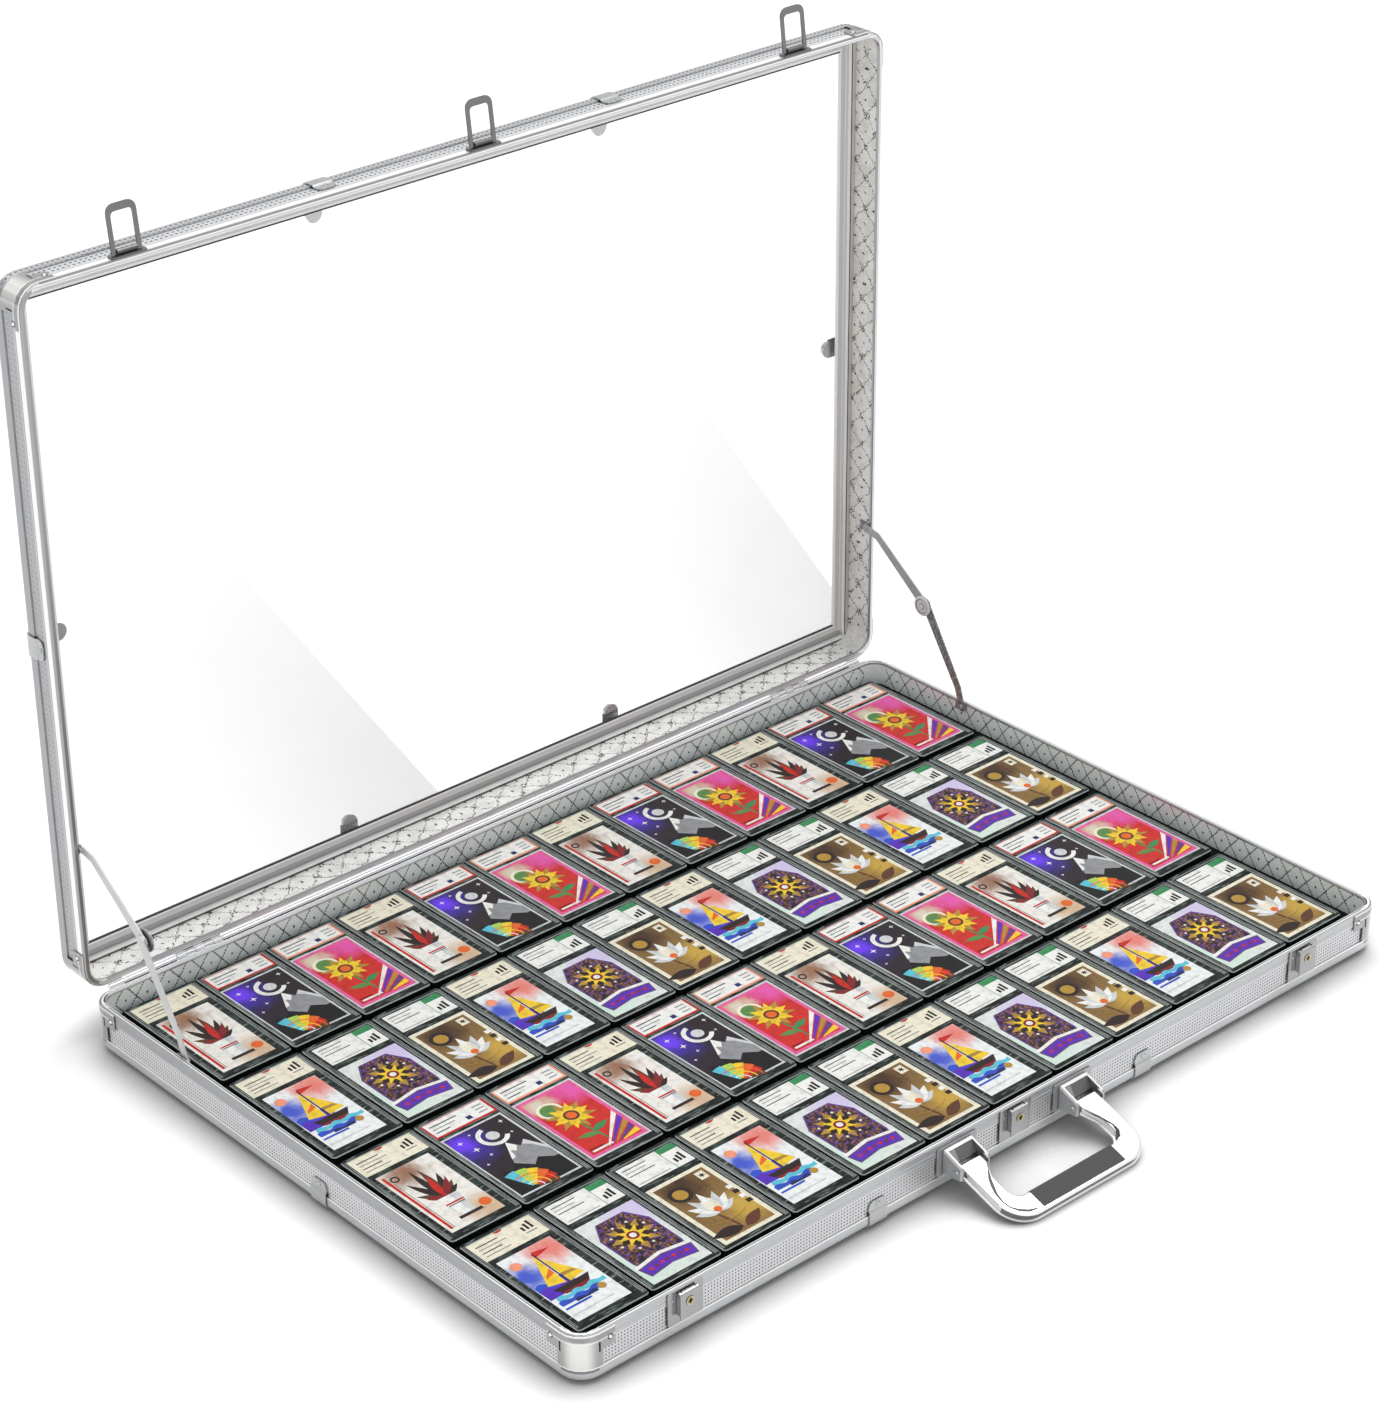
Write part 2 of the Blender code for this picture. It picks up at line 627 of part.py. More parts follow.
base_guard = corner_guard("guard", BASE_HEIGHT - BASE_TRIM_HEIGHT - GAP)
lid_guard = corner_guard("guard_lid", LID_HEIGHT - LID_TRIM_HEIGHT - GAP)
corner_x = CASE_WIDTH / 2 - CORNER_RADIUS
corner_y = CASE_DEPTH / 2 - CORNER_RADIUS
corners = (
    ("front_left", -1, -1, 0), ("front_right", 1, -1, 90),
    ("back_right", 1, 1, 180), ("back_left", -1, 1, 270))
for label, side_x, side_y, angle in corners:
    spin = Matrix.Rotation(math.radians(angle), 4, "Z")
    place = Matrix.Translation((side_x * corner_x, CASE_SHIFT + side_y * corner_y, RIM_Z)) @ spin
    copy_of(base_guard, "base_corner_" + label, place, ALUMINIUM)
    # Over on its back, the same guard serves the opposite corner of the lid
    over = Matrix.Rotation(math.radians(angle + 90), 4, "Z") @ Matrix.Rotation(math.pi, 4, "X")
    place = Matrix.Translation((side_x * corner_x, CASE_SHIFT + side_y * corner_y, LID_RIM_Z)) @ over
    copy_of(lid_guard, "lid_corner_" + label, place, ALUMINIUM, lid_pivot)
for guard in (base_guard, lid_guard):
    guard.data.shade_smooth()
    bpy.data.objects.remove(guard)


def panel_clip():
    """A clip about the panel-side edge at Y = 0, Z = 0: up the wall in +Z, over the panel in +Y."""
    inner = -GAP
    outer = inner - CLIP_THICK
    low = BAND_INSET - GAP
    centre = (TRIM_RADIUS, TRIM_RADIUS)
    outline = [(low - CLIP_THICK, CLIP_TOP), (low - CLIP_THICK, CLIP_JOG_HIGH), (outer, CLIP_JOG_LOW)]
    outline += circle_arc(centre, TRIM_RADIUS - outer, 180, 270, CLIP_CORNER_STEPS)
    outline += [(CLIP_DISC_PLACE, outer), (CLIP_DISC_PLACE, inner)]
    outline += circle_arc(centre, TRIM_RADIUS - inner, 270, 180, CLIP_CORNER_STEPS)
    outline += [(inner, CLIP_JOG_LOW), (low, CLIP_JOG_HIGH), (low, CLIP_TOP)]
    strap = extrusion("clip", [outline], SIDE, -CLIP_WIDTH / 2, CLIP_WIDTH / 2)
    rounding = rounded_rectangle(
        (-CLIP_WIDTH / 2, -TRIM_RADIUS), (CLIP_WIDTH / 2, CLIP_TOP), CLIP_WIDTH / 4, 2)
    keep = extrusion("clip_outline", [rounding], FACE, -CLIP_DISC_PLACE - GAP, CLIP_THICK * 4)
    strap = combine(strap, [keep], "INTERSECT")
    disc_far = FLANGE_THICK - 2 * GAP + GAP
    disc = dome(
        "disc", CLIP_DISC_RADIUS, CLIP_DISC_SHARE, (0, CLIP_DISC_PLACE, disc_far),
        (0, CLIP_DISC_PLACE, -FOOT_HEIGHT), 16)
    screw_seat = low - CLIP_THICK / 2
    screw_top = low - CLIP_THICK - CLIP_SCREW_HEIGHT
    screw = dome(
        "screw", CLIP_SCREW_RADIUS, HEAD_SHARE, (0, screw_seat, CLIP_SCREW_PLACE),
        (0, screw_top, CLIP_SCREW_PLACE), 6)
    return combine(strap, [disc, screw], "UNION")


clip = panel_clip()
clip.data.shade_smooth()
clip.data.set_sharp_from_angle(angle=math.radians(30))
clip_places = (
    ("front_left", -CLIP_OFFSET, FRONT, 0), ("front_right", CLIP_OFFSET, FRONT, 0),
    ("back_left", -CLIP_OFFSET, BACK, 180), ("back_right", CLIP_OFFSET, BACK, 180),
    ("left", -CASE_WIDTH / 2, CASE_SHIFT, -90), ("right", CASE_WIDTH / 2, CASE_SHIFT, 90))
for label, x, y, angle in clip_places:
    spin = Matrix.Rotation(math.radians(angle), 4, "Z")
    copy_of(clip, "foot_clip_" + label, Matrix.Translation((x, y, FOOT_HEIGHT)) @ spin, STEEL)
    over = spin @ Matrix.Rotation(math.pi, 4, "Y")
    copy_of(clip, "lid_clip_" + label, Matrix.Translation((x, y, LID_TOP_Z)) @ over, STEEL, lid_pivot)
bpy.data.objects.remove(clip)


def hinge_leaf(name, knuckles, with_pin):
    """A hinge leaf about the pin at the origin. Its plate hangs down on the case's back."""
    pitch = HINGE_WIDTH / HINGE_KNUCKLES
    plate_in = -HINGE_BACK - RIM_INSET + GAP
    half = HINGE_WIDTH / 2
    outline = [(-half, -LEAF_DROP - LEAF_HEIGHT), (-half, -LEAF_DROP)]
    barrels = []
    for knuckle in knuckles:
        start = -half + knuckle * pitch + GAP / 2
        stop = start + pitch - GAP
        barrels.append(cylinder("knuckle", KNUCKLE_RADIUS, (start, 0, 0), (stop, 0, 0)))
        left = start + LEAF_FINGER
        right = stop - LEAF_FINGER
        outline += [(left, -LEAF_DROP), (left, -LEAF_FINGER), (right, -LEAF_FINGER), (right, -LEAF_DROP)]
    outline += [(half, -LEAF_DROP), (half, -LEAF_DROP - LEAF_HEIGHT)]
    leaf = extrusion(name, [outline], FACE, -plate_in - LEAF_THICK, -plate_in)
    leaf = combine(leaf, barrels, "UNION")
    if with_pin:
        pin = cylinder("pin", HINGE_PIN_RADIUS, (-half + GAP, 0, 0), (half - GAP, 0, 0), 8)
        return combine(leaf, [pin], "UNION")
    bore = cylinder("bore", HINGE_PIN_RADIUS + GAP, (-half, 0, 0), (half, 0, 0), 8)
    return combine(leaf, [bore], "DIFFERENCE")


for label, side in (("left", -1), ("right", 1)):
    pin_centre = Matrix.Translation((side * HINGE_OFFSET, HINGE_Y, HINGE_Z))
    base_leaf = hinge_leaf("base_hinge_" + label, (0, 2, 4), True)
    finish(base_leaf, STEEL)
    base_leaf.matrix_basis = pin_centre
    lid_leaf = hinge_leaf("lid_hinge_" + label, (1, 3), False)
    lid_leaf.data.transform(Matrix.Diagonal((1, 1, -1, 1)))
    lid_leaf.data.flip_normals()
    finish(lid_leaf, STEEL, parent=lid_pivot)
    lid_leaf.matrix_basis = pin_centre

LEVER_AXIS_Z = FOOT_HEIGHT + LEVER_PIVOT_HEIGHT
LEVER_AXIS_Y = FRONT - LEVER_PIVOT_OUT
LOOP_AXIS_Y = FRONT + RIM_INSET - GAP - BRACKET_THICK - BRACKET_TUBE_OUTER + BRACKET_THICK / 2
LOOP_AXIS_Z = LID_RIM_Z + LOOP_DEPTH


def latch_plate(name, x=0):
    """The plate on the wall, with two ears and the pin that carries the lever."""
    back = FRONT + RIM_INSET - GAP
    front = back - PLATE_THICK
    low = FOOT_HEIGHT + PLATE_LOW
    high = FOOT_HEIGHT + PLATE_HIGH
    outline = rounded_rectangle((x - PLATE_WIDTH / 2, low), (x + PLATE_WIDTH / 2, high), PLATE_RADIUS, 2)
    plate = extrusion(name, [outline], FACE, -back, -front)
    extras = []
    for side in (-1, 1):
        left, right = sorted((x + side * EAR_PLACE, x + side * (EAR_PLACE - EAR_THICK)))
        extras.append(box(
            "ear", (left, LEVER_AXIS_Y, LEVER_AXIS_Z - EAR_DROP),
            (right, back - PLATE_THICK / 2, LEVER_AXIS_Z + EAR_RISE)))
        rivet_x = x + side * PLATE_RIVET_PLACE
        rivet_z = FOOT_HEIGHT + PLATE_RIVET_HEIGHT
        extras.append(dome(
            "rivet", PLATE_RIVET_RADIUS, HEAD_SHARE, (rivet_x, back - PLATE_THICK / 2, rivet_z),
            (rivet_x, front - RIVET_HEIGHT, rivet_z), 6))
    half_pin = LEVER_WIDTH / 2 - GAP
    extras.append(cylinder(
        "pin", LEVER_PIN_RADIUS, (x - half_pin, LEVER_AXIS_Y, LEVER_AXIS_Z),
        (x + half_pin, LEVER_AXIS_Y, LEVER_AXIS_Z)))
    return combine(plate, extras, "UNION")


def latch_lever(name, x=0):
    """The pressed lever: a box open at the back, round about its pin, with a chin over the loop's bar."""
    back = FRONT + RIM_INSET - GAP - PLATE_THICK - GAP
    front = FRONT - LEVER_OUT
    low = FOOT_HEIGHT + LEVER_LOW
    high = LEVER_AXIS_Z + LEVER_CROWN
    skin = front + LEVER_SKIN
    outline = [(back, low), (skin, low), (skin, low - LEVER_CHIN), (front, low - LEVER_CHIN)]
    outline += circle_arc((front + LEVER_ROUND, high - LEVER_ROUND), LEVER_ROUND, 180, 90, 2)
    outline += circle_arc((LEVER_AXIS_Y, LEVER_AXIS_Z), LEVER_CROWN, 90, 0, 3)
    lever = extrusion(name, [outline], SIDE, x - LEVER_WIDTH / 2, x + LEVER_WIDTH / 2)
    hollow_half = LEVER_WIDTH / 2 - LEVER_SKIN
    hollow = box(
        "hollow", (x - hollow_half, skin, low + LEVER_SKIN), (x + hollow_half, FRONT, high - LEVER_ROOF))
    bore_half = LEVER_WIDTH / 2 + GAP
    bore = cylinder(
        "bore", LEVER_PIN_RADIUS + GAP, (x - bore_half, LEVER_AXIS_Y, LEVER_AXIS_Z),
        (x + bore_half, LEVER_AXIS_Y, LEVER_AXIS_Z))
    key_z = FOOT_HEIGHT + KEY_HEIGHT
    key_hole = cylinder(
        "key_hole", KEY_RADIUS + GAP, (x, front - LEVER_SKIN, key_z), (x, skin + LEVER_SKIN, key_z), 16)
    slots = []
    for side in (-1, 1):
        left, right = sorted((x + side * (EAR_PLACE + GAP), x + side * (EAR_PLACE - EAR_THICK - GAP)))
        slots.append(box(
            "slot", (left, LEVER_AXIS_Y - EAR_RISE - GAP, LEVER_AXIS_Z), (right, FRONT, high + LEVER_SKIN)))
    return combine(lever, [hollow, bore, key_hole, *slots], "DIFFERENCE")


def key_cylinder(name, x=0):
    """The lock's plug with its keyway."""
    front = FRONT - LEVER_OUT
    key_z = FOOT_HEIGHT + KEY_HEIGHT
    face = front - KEY_PROUD
    plug = cylinder(name, KEY_RADIUS, (x, face, key_z), (x, face + KEY_LENGTH, key_z), 16)
    keyway = box(
        "keyway", (x - KEYWAY_WIDTH / 2, face - KEY_PROUD, key_z - KEYWAY_HEIGHT / 2),
        (x + KEYWAY_WIDTH / 2, face + KEYWAY_DEPTH, key_z + KEYWAY_HEIGHT / 2))
    return combine(plug, [keyway], "DIFFERENCE")


def loop_bracket(name, x=0):
    """The plate on the lid's front, with a tube that the loop's root turns in."""
    back = FRONT + RIM_INSET - GAP
    front = back - BRACKET_THICK
    low = LID_RIM_Z + BRACKET_NEAR
    high = LID_RIM_Z + BRACKET_FAR
    outline = rounded_rectangle((x - BRACKET_WIDTH / 2, low), (x + BRACKET_WIDTH / 2, high), PLATE_RADIUS, 2)
    plate = extrusion(name, [outline], FACE, -back, -front)
    half = BRACKET_TUBE_LENGTH / 2
    pivot = Vector((x, LOOP_AXIS_Y, LOOP_AXIS_Z))
    along = Vector((1, 0, 0))
    tube = cylinder("tube", BRACKET_TUBE_OUTER, pivot - along * half, pivot + along * half)
    bracket = combine(plate, [tube], "UNION")
    bore = cylinder("bore", BRACKET_TUBE_INNER, pivot - along * LOOP_WIDTH, pivot + along * LOOP_WIDTH)
    return combine(bracket, [bore], "DIFFERENCE")


def latch_loop(name, x=0):
    """The loop, drawn hanging over the lever: root bar on the axis, a broad bar at its free end."""
    half = LOOP_WIDTH / 2
    top = LOOP_AXIS_Z + LOOP_ROOT
    low = LOOP_AXIS_Z - LOOP_LENGTH
    outer = circle_arc((x - half + LOOP_CORNER, low + LOOP_CORNER), LOOP_CORNER, 180, 270, LOOP_STEPS)
    outer += circle_arc((x + half - LOOP_CORNER, low + LOOP_CORNER), LOOP_CORNER, 270, 360, LOOP_STEPS)
    outer += [(x + half, top), (x - half, top)]
    inner_half = half - LOOP_STRIP
    inner_low = low + LOOP_BAR
    corner = LOOP_INNER_CORNER
    inner = circle_arc((x - inner_half + corner, inner_low + corner), corner, 180, 270, LOOP_STEPS)
    inner += circle_arc((x + inner_half - corner, inner_low + corner), corner, 270, 360, LOOP_STEPS)
    inner += [(x + inner_half, top - 2 * LOOP_ROOT), (x - inner_half, top - 2 * LOOP_ROOT)]
    back = -LOOP_AXIS_Y - LOOP_THICK / 2
    return extrusion(name, [outer, inner], FACE, back, back + LOOP_THICK)


plate = finish(latch_plate("plate"), STEEL, origin=(0, FRONT, FOOT_HEIGHT + PLATE_LOW))
lever = finish(latch_lever("lever"), STEEL, origin=(0, LEVER_AXIS_Y, LEVER_AXIS_Z))
plug = finish(key_cylinder("plug"), BRASS, origin=(0, FRONT - LEVER_OUT, FOOT_HEIGHT + KEY_HEIGHT))
bracket = finish(loop_bracket("bracket"), STEEL, origin=(0, LOOP_AXIS_Y, LOOP_AXIS_Z))
loop = finish(latch_loop("loop"), STEEL, origin=(0, LOOP_AXIS_Y, LOOP_AXIS_Z))
loop_turn = Matrix.Rotation(-LOOP_REST, 4, "X")
for label, x in (("left", -LATCH_OFFSET), ("middle", 0), ("right", LATCH_OFFSET)):
    along = Matrix.Translation((x, 0, 0))
    for source, name, look in ((plate, "latch_plate_", STEEL), (lever, "latch_lever_", STEEL),
                               (plug, "latch_key_", BRASS)):
        copy_of(source, name + label, along @ source.matrix_basis, look)
    copy_of(bracket, "loop_bracket_" + label, along @ bracket.matrix_basis, STEEL, lid_pivot)
    copy_of(loop, "latch_loop_" + label, along @ loop.matrix_basis @ loop_turn, STEEL, lid_pivot)
for source in (plate, lever, plug, bracket, loop):
    bpy.data.objects.remove(source)

HANDLE_AXIS_Y = FRONT - HANDLE_PIVOT_OUT
HANDLE_AXIS_Z = FOOT_HEIGHT + HANDLE_PIVOT_HEIGHT


def handle_mount(name, x=0):
    """A wedge with two cheeks and a pin, open on top, in front and below for the handle's arm."""
    back = FRONT + RIM_INSET - GAP
    flange_front = back - MOUNT_FLANGE_THICK
    flange_low = (x - MOUNT_FLANGE / 2, FOOT_HEIGHT + MOUNT_FLANGE_LOW)
    flange_high = (x + MOUNT_FLANGE / 2, FOOT_HEIGHT + MOUNT_FLANGE_HIGH)
    flange = rounded_rectangle(flange_low, flange_high, PLATE_RADIUS, 2)
    mount = extrusion(name, [flange], FACE, -back, -flange_front)
    tip = FRONT - MOUNT_REACH
    side = [
        (flange_front + MOUNT_FLANGE_THICK / 2, FOOT_HEIGHT + MOUNT_LOW_IN),
        (tip, FOOT_HEIGHT + MOUNT_LOW_OUT),
        (tip, FOOT_HEIGHT + MOUNT_TOP_OUT),
        (flange_front + MOUNT_FLANGE_THICK / 2, FOOT_HEIGHT + MOUNT_TOP_IN),
    ]
    wedge = extrusion("wedge", [side], SIDE, x - MOUNT_WIDTH / 2, x + MOUNT_WIDTH / 2)
    wedge = bevel(wedge, MOUNT_FLANGE_THICK, segments=1)
    mount = combine(mount, [wedge], "UNION")
    slot_half = MOUNT_WIDTH / 2 - MOUNT_CHEEK
    slots = [
        box("slot_low", (x - slot_half, tip - GAP, 0), (x + slot_half, FRONT - MOUNT_SHELF, RIM_Z)),
        box("slot_top", (x - slot_half, FRONT - MOUNT_SHELF - GAP, FOOT_HEIGHT + MOUNT_SHELF_TOP),
            (x + slot_half, FRONT - MOUNT_WINDOW, RIM_Z)),
    ]
    mount = combine(mount, slots, "DIFFERENCE")
    pin_half = slot_half + MOUNT_CHEEK / 2
    pivot = Vector((x, HANDLE_AXIS_Y, HANDLE_AXIS_Z))
    seat = Vector((pin_half, 0, 0))
    crown = Vector((MOUNT_WIDTH / 2 + MOUNT_EAR_REACH, 0, 0))
    pin = cylinder("pin", HANDLE_PIN_RADIUS, pivot - seat, pivot + seat)
    ears = [
        dome("ear", MOUNT_EAR_RADIUS, EAR_SHARE, pivot + sign * seat, pivot + sign * crown)
        for sign in (-1, 1)]
    return combine(mount, [pin, *ears], "UNION")


def drop_handle(name):
    """The handle, drawn level: a U of two arms that widen into the mounts, and a broad grip."""
    half = HANDLE_HALF_WIDTH
    heel = HANDLE_AXIS_Y + HANDLE_HEEL
    end = HANDLE_AXIS_Y - HANDLE_REACH
    corner = HANDLE_OUTER_CORNER
    outline = [(-half, heel)]
    outline += circle_arc((-half + corner, end + corner), corner, 180, 270, HANDLE_STEPS)
    outline += circle_arc((half - corner, end + corner), corner, 270, 360, HANDLE_STEPS)
    outline += [(half, heel), (half - HANDLE_ROOT, heel), (half - HANDLE_ROOT, HANDLE_AXIS_Y - HANDLE_HEEL)]
    inner = half - HANDLE_ARM
    hollow = HANDLE_INNER_CORNER
    grip_edge = end + HANDLE_GRIP
    outline += [(inner, HANDLE_AXIS_Y - HANDLE_HEEL - HANDLE_TAPER)]
    outline += circle_arc((inner - hollow, grip_edge + hollow), hollow, 0, -90, HANDLE_STEPS // 2)
    outline += circle_arc((-inner + hollow, grip_edge + hollow), hollow, -90, -180, HANDLE_STEPS // 2)
    outline += [(-inner, HANDLE_AXIS_Y - HANDLE_HEEL - HANDLE_TAPER)]
    outline += [(-half + HANDLE_ROOT, HANDLE_AXIS_Y - HANDLE_HEEL), (-half + HANDLE_ROOT, heel)]
    under = HANDLE_AXIS_Z - HANDLE_THICK / 2
    handle = extrusion(name, [outline], PLAN, under, under + HANDLE_THICK)
    handle = bevel(handle, HANDLE_BEVEL, angle=50)
    grip_y = end + HANDLE_GRIP / 2
    pad = box(
        "pad", (-GRIP_LENGTH / 2, grip_y - GRIP_WIDTH / 2, HANDLE_AXIS_Z),
        (GRIP_LENGTH / 2, grip_y + GRIP_WIDTH / 2, HANDLE_AXIS_Z + HANDLE_THICK / 2 + GRIP_RAISE))
    handle = combine(handle, [pad], "UNION")
    bore = cylinder(
        "bore", HANDLE_PIN_RADIUS + GAP, (-CASE_WIDTH / 4, HANDLE_AXIS_Y, HANDLE_AXIS_Z),
        (CASE_WIDTH / 4, HANDLE_AXIS_Y, HANDLE_AXIS_Z))
    return combine(handle, [bore], "DIFFERENCE")


mount = finish(handle_mount("mount"), ALUMINIUM, origin=(0, HANDLE_AXIS_Y, HANDLE_AXIS_Z))
for label, side in (("left", -1), ("right", 1)):
    along = Matrix.Translation((side * HANDLE_OFFSET, 0, 0))
    copy_of(mount, "handle_mount_" + label, along @ mount.matrix_basis, ALUMINIUM)
bpy.data.objects.remove(mount)
droop = Matrix.Rotation(HANDLE_DROOP, 4, "X")
finish(drop_handle("handle"), CHROME, origin=(0, HANDLE_AXIS_Y, HANDLE_AXIS_Z), turn=droop)

FOOT_PIVOT = Vector((BACK - STAY_FOOT_FORWARD, RIM_Z + STAY_FOOT_RISE))
ELBOW_PIVOT = Vector((BACK - STAY_ELBOW_FORWARD, RIM_Z + STAY_ELBOW_RISE))
LID_PIVOT_CLOSED = Vector((HINGE_Y - STAY_LID_ALONG, LID_RIM_Z + STAY_LID_DEPTH))
LID_PIVOT_OPEN = Vector((HINGE_Y + LID_PIVOT_CLOSED.y - HINGE_Z, HINGE_Z + STAY_LID_ALONG))


def knee_point(start, stop, knee):
    """A point at a distance along and a distance off the line between two pivots."""
    along = (stop - start).normalized()
    across = Vector((-along.y, along.x))
    return start + along * knee[0] + across * knee[1]


def link_end(pivot, inwards, half, radius):
    """The round end of a link, between the shoulders where its straight edges start."""
    angle = math.degrees(math.atan2(inwards.y, inwards.x))
    shoulder = math.degrees(math.asin(half / radius))
    return circle_arc(pivot, radius, angle + shoulder, angle + 360 - shoulder, ARC_STEPS)


def stay_link(name, side, elbow, knee, end, inset):
    """A flat link in the plane of a side wall: round and broad at the elbow, bent, narrower at its end."""
    first = (knee - elbow).normalized()
    last = (end - knee).normalized()
    middle = (first + last).normalized()
    share = (knee - elbow).length / ((knee - elbow).length + (end - knee).length)
    knee_half = STAY_ELBOW_HALF + (STAY_END_HALF - STAY_ELBOW_HALF) * share
    across = Vector((-middle.y, middle.x)) * knee_half / first.dot(middle)
    edge = link_end(elbow, first, STAY_ELBOW_HALF, STAY_ELBOW_RADIUS)
    edge.append(tuple(knee - across))
    edge += link_end(end, -last, STAY_END_HALF, STAY_END_RADIUS)
    edge.append(tuple(knee + across))
    outer = CASE_WIDTH / 2 - inset
    low, high = sorted((side * outer, side * (outer - STAY_LINK_THICK)))
    return extrusion(name, [edge], SIDE, low, high)


def stay_pin(name, side, pivot, radius, outer_inset, inner_inset):
    """A pin across the links at a pivot, between two insets from the side wall."""
    outer = side * (CASE_WIDTH / 2 - outer_inset)
    inner = side * (CASE_WIDTH / 2 - inner_inset)
    return cylinder(name, radius, (outer, *pivot), (inner, *pivot))


def stay_head(name, side, pivot, seat_inset, radius=STAY_HEAD_RADIUS):
    """A domed rivet head on the inner side of a link."""
    seat = side * (CASE_WIDTH / 2 - seat_inset)
    crown = side * (CASE_WIDTH / 2 - seat_inset - STAY_HEAD_HEIGHT)
    return dome(name, radius, STAY_HEAD_SHARE, (seat, *pivot), (crown, *pivot), 10)


def stay_plate(name, side, pivot, along):
    """A small fixing plate on the liner, rounded at the pivot."""
    base_angle = math.degrees(math.atan2(along.y, along.x))
    outline = circle_arc(pivot, STAY_PLATE_RADIUS, base_angle - 90, base_angle - 270, ARC_STEPS)
    across = Vector((-along.y, along.x)) * STAY_PLATE_RADIUS
    tail = pivot + along * STAY_PLATE_LENGTH
    outline += [tuple(tail + across), tuple(tail - across)]
    outer = CASE_WIDTH / 2 - STAY_PLATE_INSET
    low, high = sorted((side * outer, side * (outer - STAY_PLATE_THICK)))
    return extrusion(name, [outline], SIDE, low, high)


plate_face = STAY_PLATE_INSET + STAY_PLATE_THICK / 2
lower_face = STAY_LOWER_INSET + STAY_LINK_THICK
upper_face = STAY_UPPER_INSET + STAY_LINK_THICK
lower_knee = knee_point(FOOT_PIVOT, ELBOW_PIVOT, STAY_LOWER_KNEE)
upper_knee = knee_point(ELBOW_PIVOT, LID_PIVOT_OPEN, STAY_UPPER_KNEE)


def mirrored(piece, name, parent=None):
    """The same piece on the case's other side."""
    other = copy_of(piece, name, piece.matrix_basis, STEEL, parent)
    other.location.x = -piece.location.x
    other.data.transform(Matrix.Diagonal((-1, 1, 1, 1)))
    other.data.flip_normals()
    return other


# The stay on the left side, and its mirror image on the right
side = -1
wall_x = side * CASE_WIDTH / 2
seat = lower_face + GAP
foot = stay_plate("stay_foot_left", side, FOOT_PIVOT, Vector((1, 0)))
foot_pin = stay_pin("pin", side, FOOT_PIVOT, STAY_PIN_RADIUS, plate_face, seat + GAP)
foot_head = stay_head("head", side, FOOT_PIVOT, seat)
foot = combine(foot, [foot_pin, foot_head], "UNION")
finish(foot, STEEL, origin=(wall_x, *FOOT_PIVOT))

lower = stay_link("stay_lower_left", side, ELBOW_PIVOT, lower_knee, FOOT_PIVOT, STAY_LOWER_INSET)
hole = stay_pin("hole", side, FOOT_PIVOT, STAY_PIN_RADIUS + GAP, STAY_PLATE_INSET, upper_face)
lower = combine(lower, [hole], "DIFFERENCE")
seat = upper_face + GAP
elbow = stay_pin("elbow", side, ELBOW_PIVOT, STAY_PIN_RADIUS, lower_face - STAY_LINK_THICK / 2, seat + GAP)
head = stay_head("head", side, ELBOW_PIVOT, seat, STAY_RIVET_RADIUS)
lower = combine(lower, [elbow, head], "UNION")
finish(lower, STEEL, origin=(wall_x, *FOOT_PIVOT))

upper = stay_link("stay_upper_left", side, ELBOW_PIVOT, upper_knee, LID_PIVOT_OPEN, STAY_UPPER_INSET)
hole_end = upper_face + STAY_HEAD_HEIGHT
hole = stay_pin("hole", side, ELBOW_PIVOT, STAY_PIN_RADIUS + GAP, STAY_PLATE_INSET, hole_end)
upper = combine(upper, [hole], "DIFFERENCE")
middle = upper_face - STAY_LINK_THICK / 2
stud_start = STAY_PLATE_INSET + STAY_PLATE_THICK + GAP
stud = stay_pin("stud", side, LID_PIVOT_OPEN, STAY_PIN_RADIUS, stud_start, middle + GAP)
cap = stay_head("cap", side, LID_PIVOT_OPEN, middle)
upper = combine(upper, [stud, cap], "UNION")
finish(upper, STEEL, origin=(wall_x, *ELBOW_PIVOT))

tab_pivot = LID_PIVOT_CLOSED + Vector((0, STAY_PLATE_RADIUS / 2))
tab = stay_plate("stay_lid_plate_left", side, tab_pivot, Vector((0, 1)))
finish(tab, STEEL, origin=(wall_x, *LID_PIVOT_CLOSED), parent=lid_pivot)

mirrored(foot, "stay_foot_right")
mirrored(lower, "stay_lower_right")
mirrored(upper, "stay_upper_right")
mirrored(tab, "stay_lid_plate_right", lid_pivot)
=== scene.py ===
"""Aluminium display case for graded trading cards, open, in soft studio light."""
import math

import bmesh
import bpy
from mathutils import Matrix, Vector


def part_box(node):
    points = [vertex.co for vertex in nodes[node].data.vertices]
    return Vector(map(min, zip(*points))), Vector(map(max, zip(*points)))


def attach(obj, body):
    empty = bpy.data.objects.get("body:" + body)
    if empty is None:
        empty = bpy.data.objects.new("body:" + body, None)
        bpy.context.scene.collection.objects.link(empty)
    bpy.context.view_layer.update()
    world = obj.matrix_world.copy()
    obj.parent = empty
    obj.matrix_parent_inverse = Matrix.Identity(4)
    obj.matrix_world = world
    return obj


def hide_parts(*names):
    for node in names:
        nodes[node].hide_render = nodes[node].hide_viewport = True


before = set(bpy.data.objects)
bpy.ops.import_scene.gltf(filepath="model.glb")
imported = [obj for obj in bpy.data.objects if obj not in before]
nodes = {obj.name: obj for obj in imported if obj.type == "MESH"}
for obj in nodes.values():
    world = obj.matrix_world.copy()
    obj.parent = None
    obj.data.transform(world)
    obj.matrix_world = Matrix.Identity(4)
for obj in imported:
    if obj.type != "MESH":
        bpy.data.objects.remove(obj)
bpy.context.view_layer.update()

MM = 0.001
CASE_LOW, CASE_HIGH = (Vector(corner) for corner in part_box("base_trim"))
CASE_WIDTH, CASE_DEPTH = (CASE_HIGH - CASE_LOW).xy
WALL_TOP = Vector(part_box("base_wall")[1]).z
LID_LOW, LID_HIGH = (Vector(corner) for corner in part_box("lid_trim"))
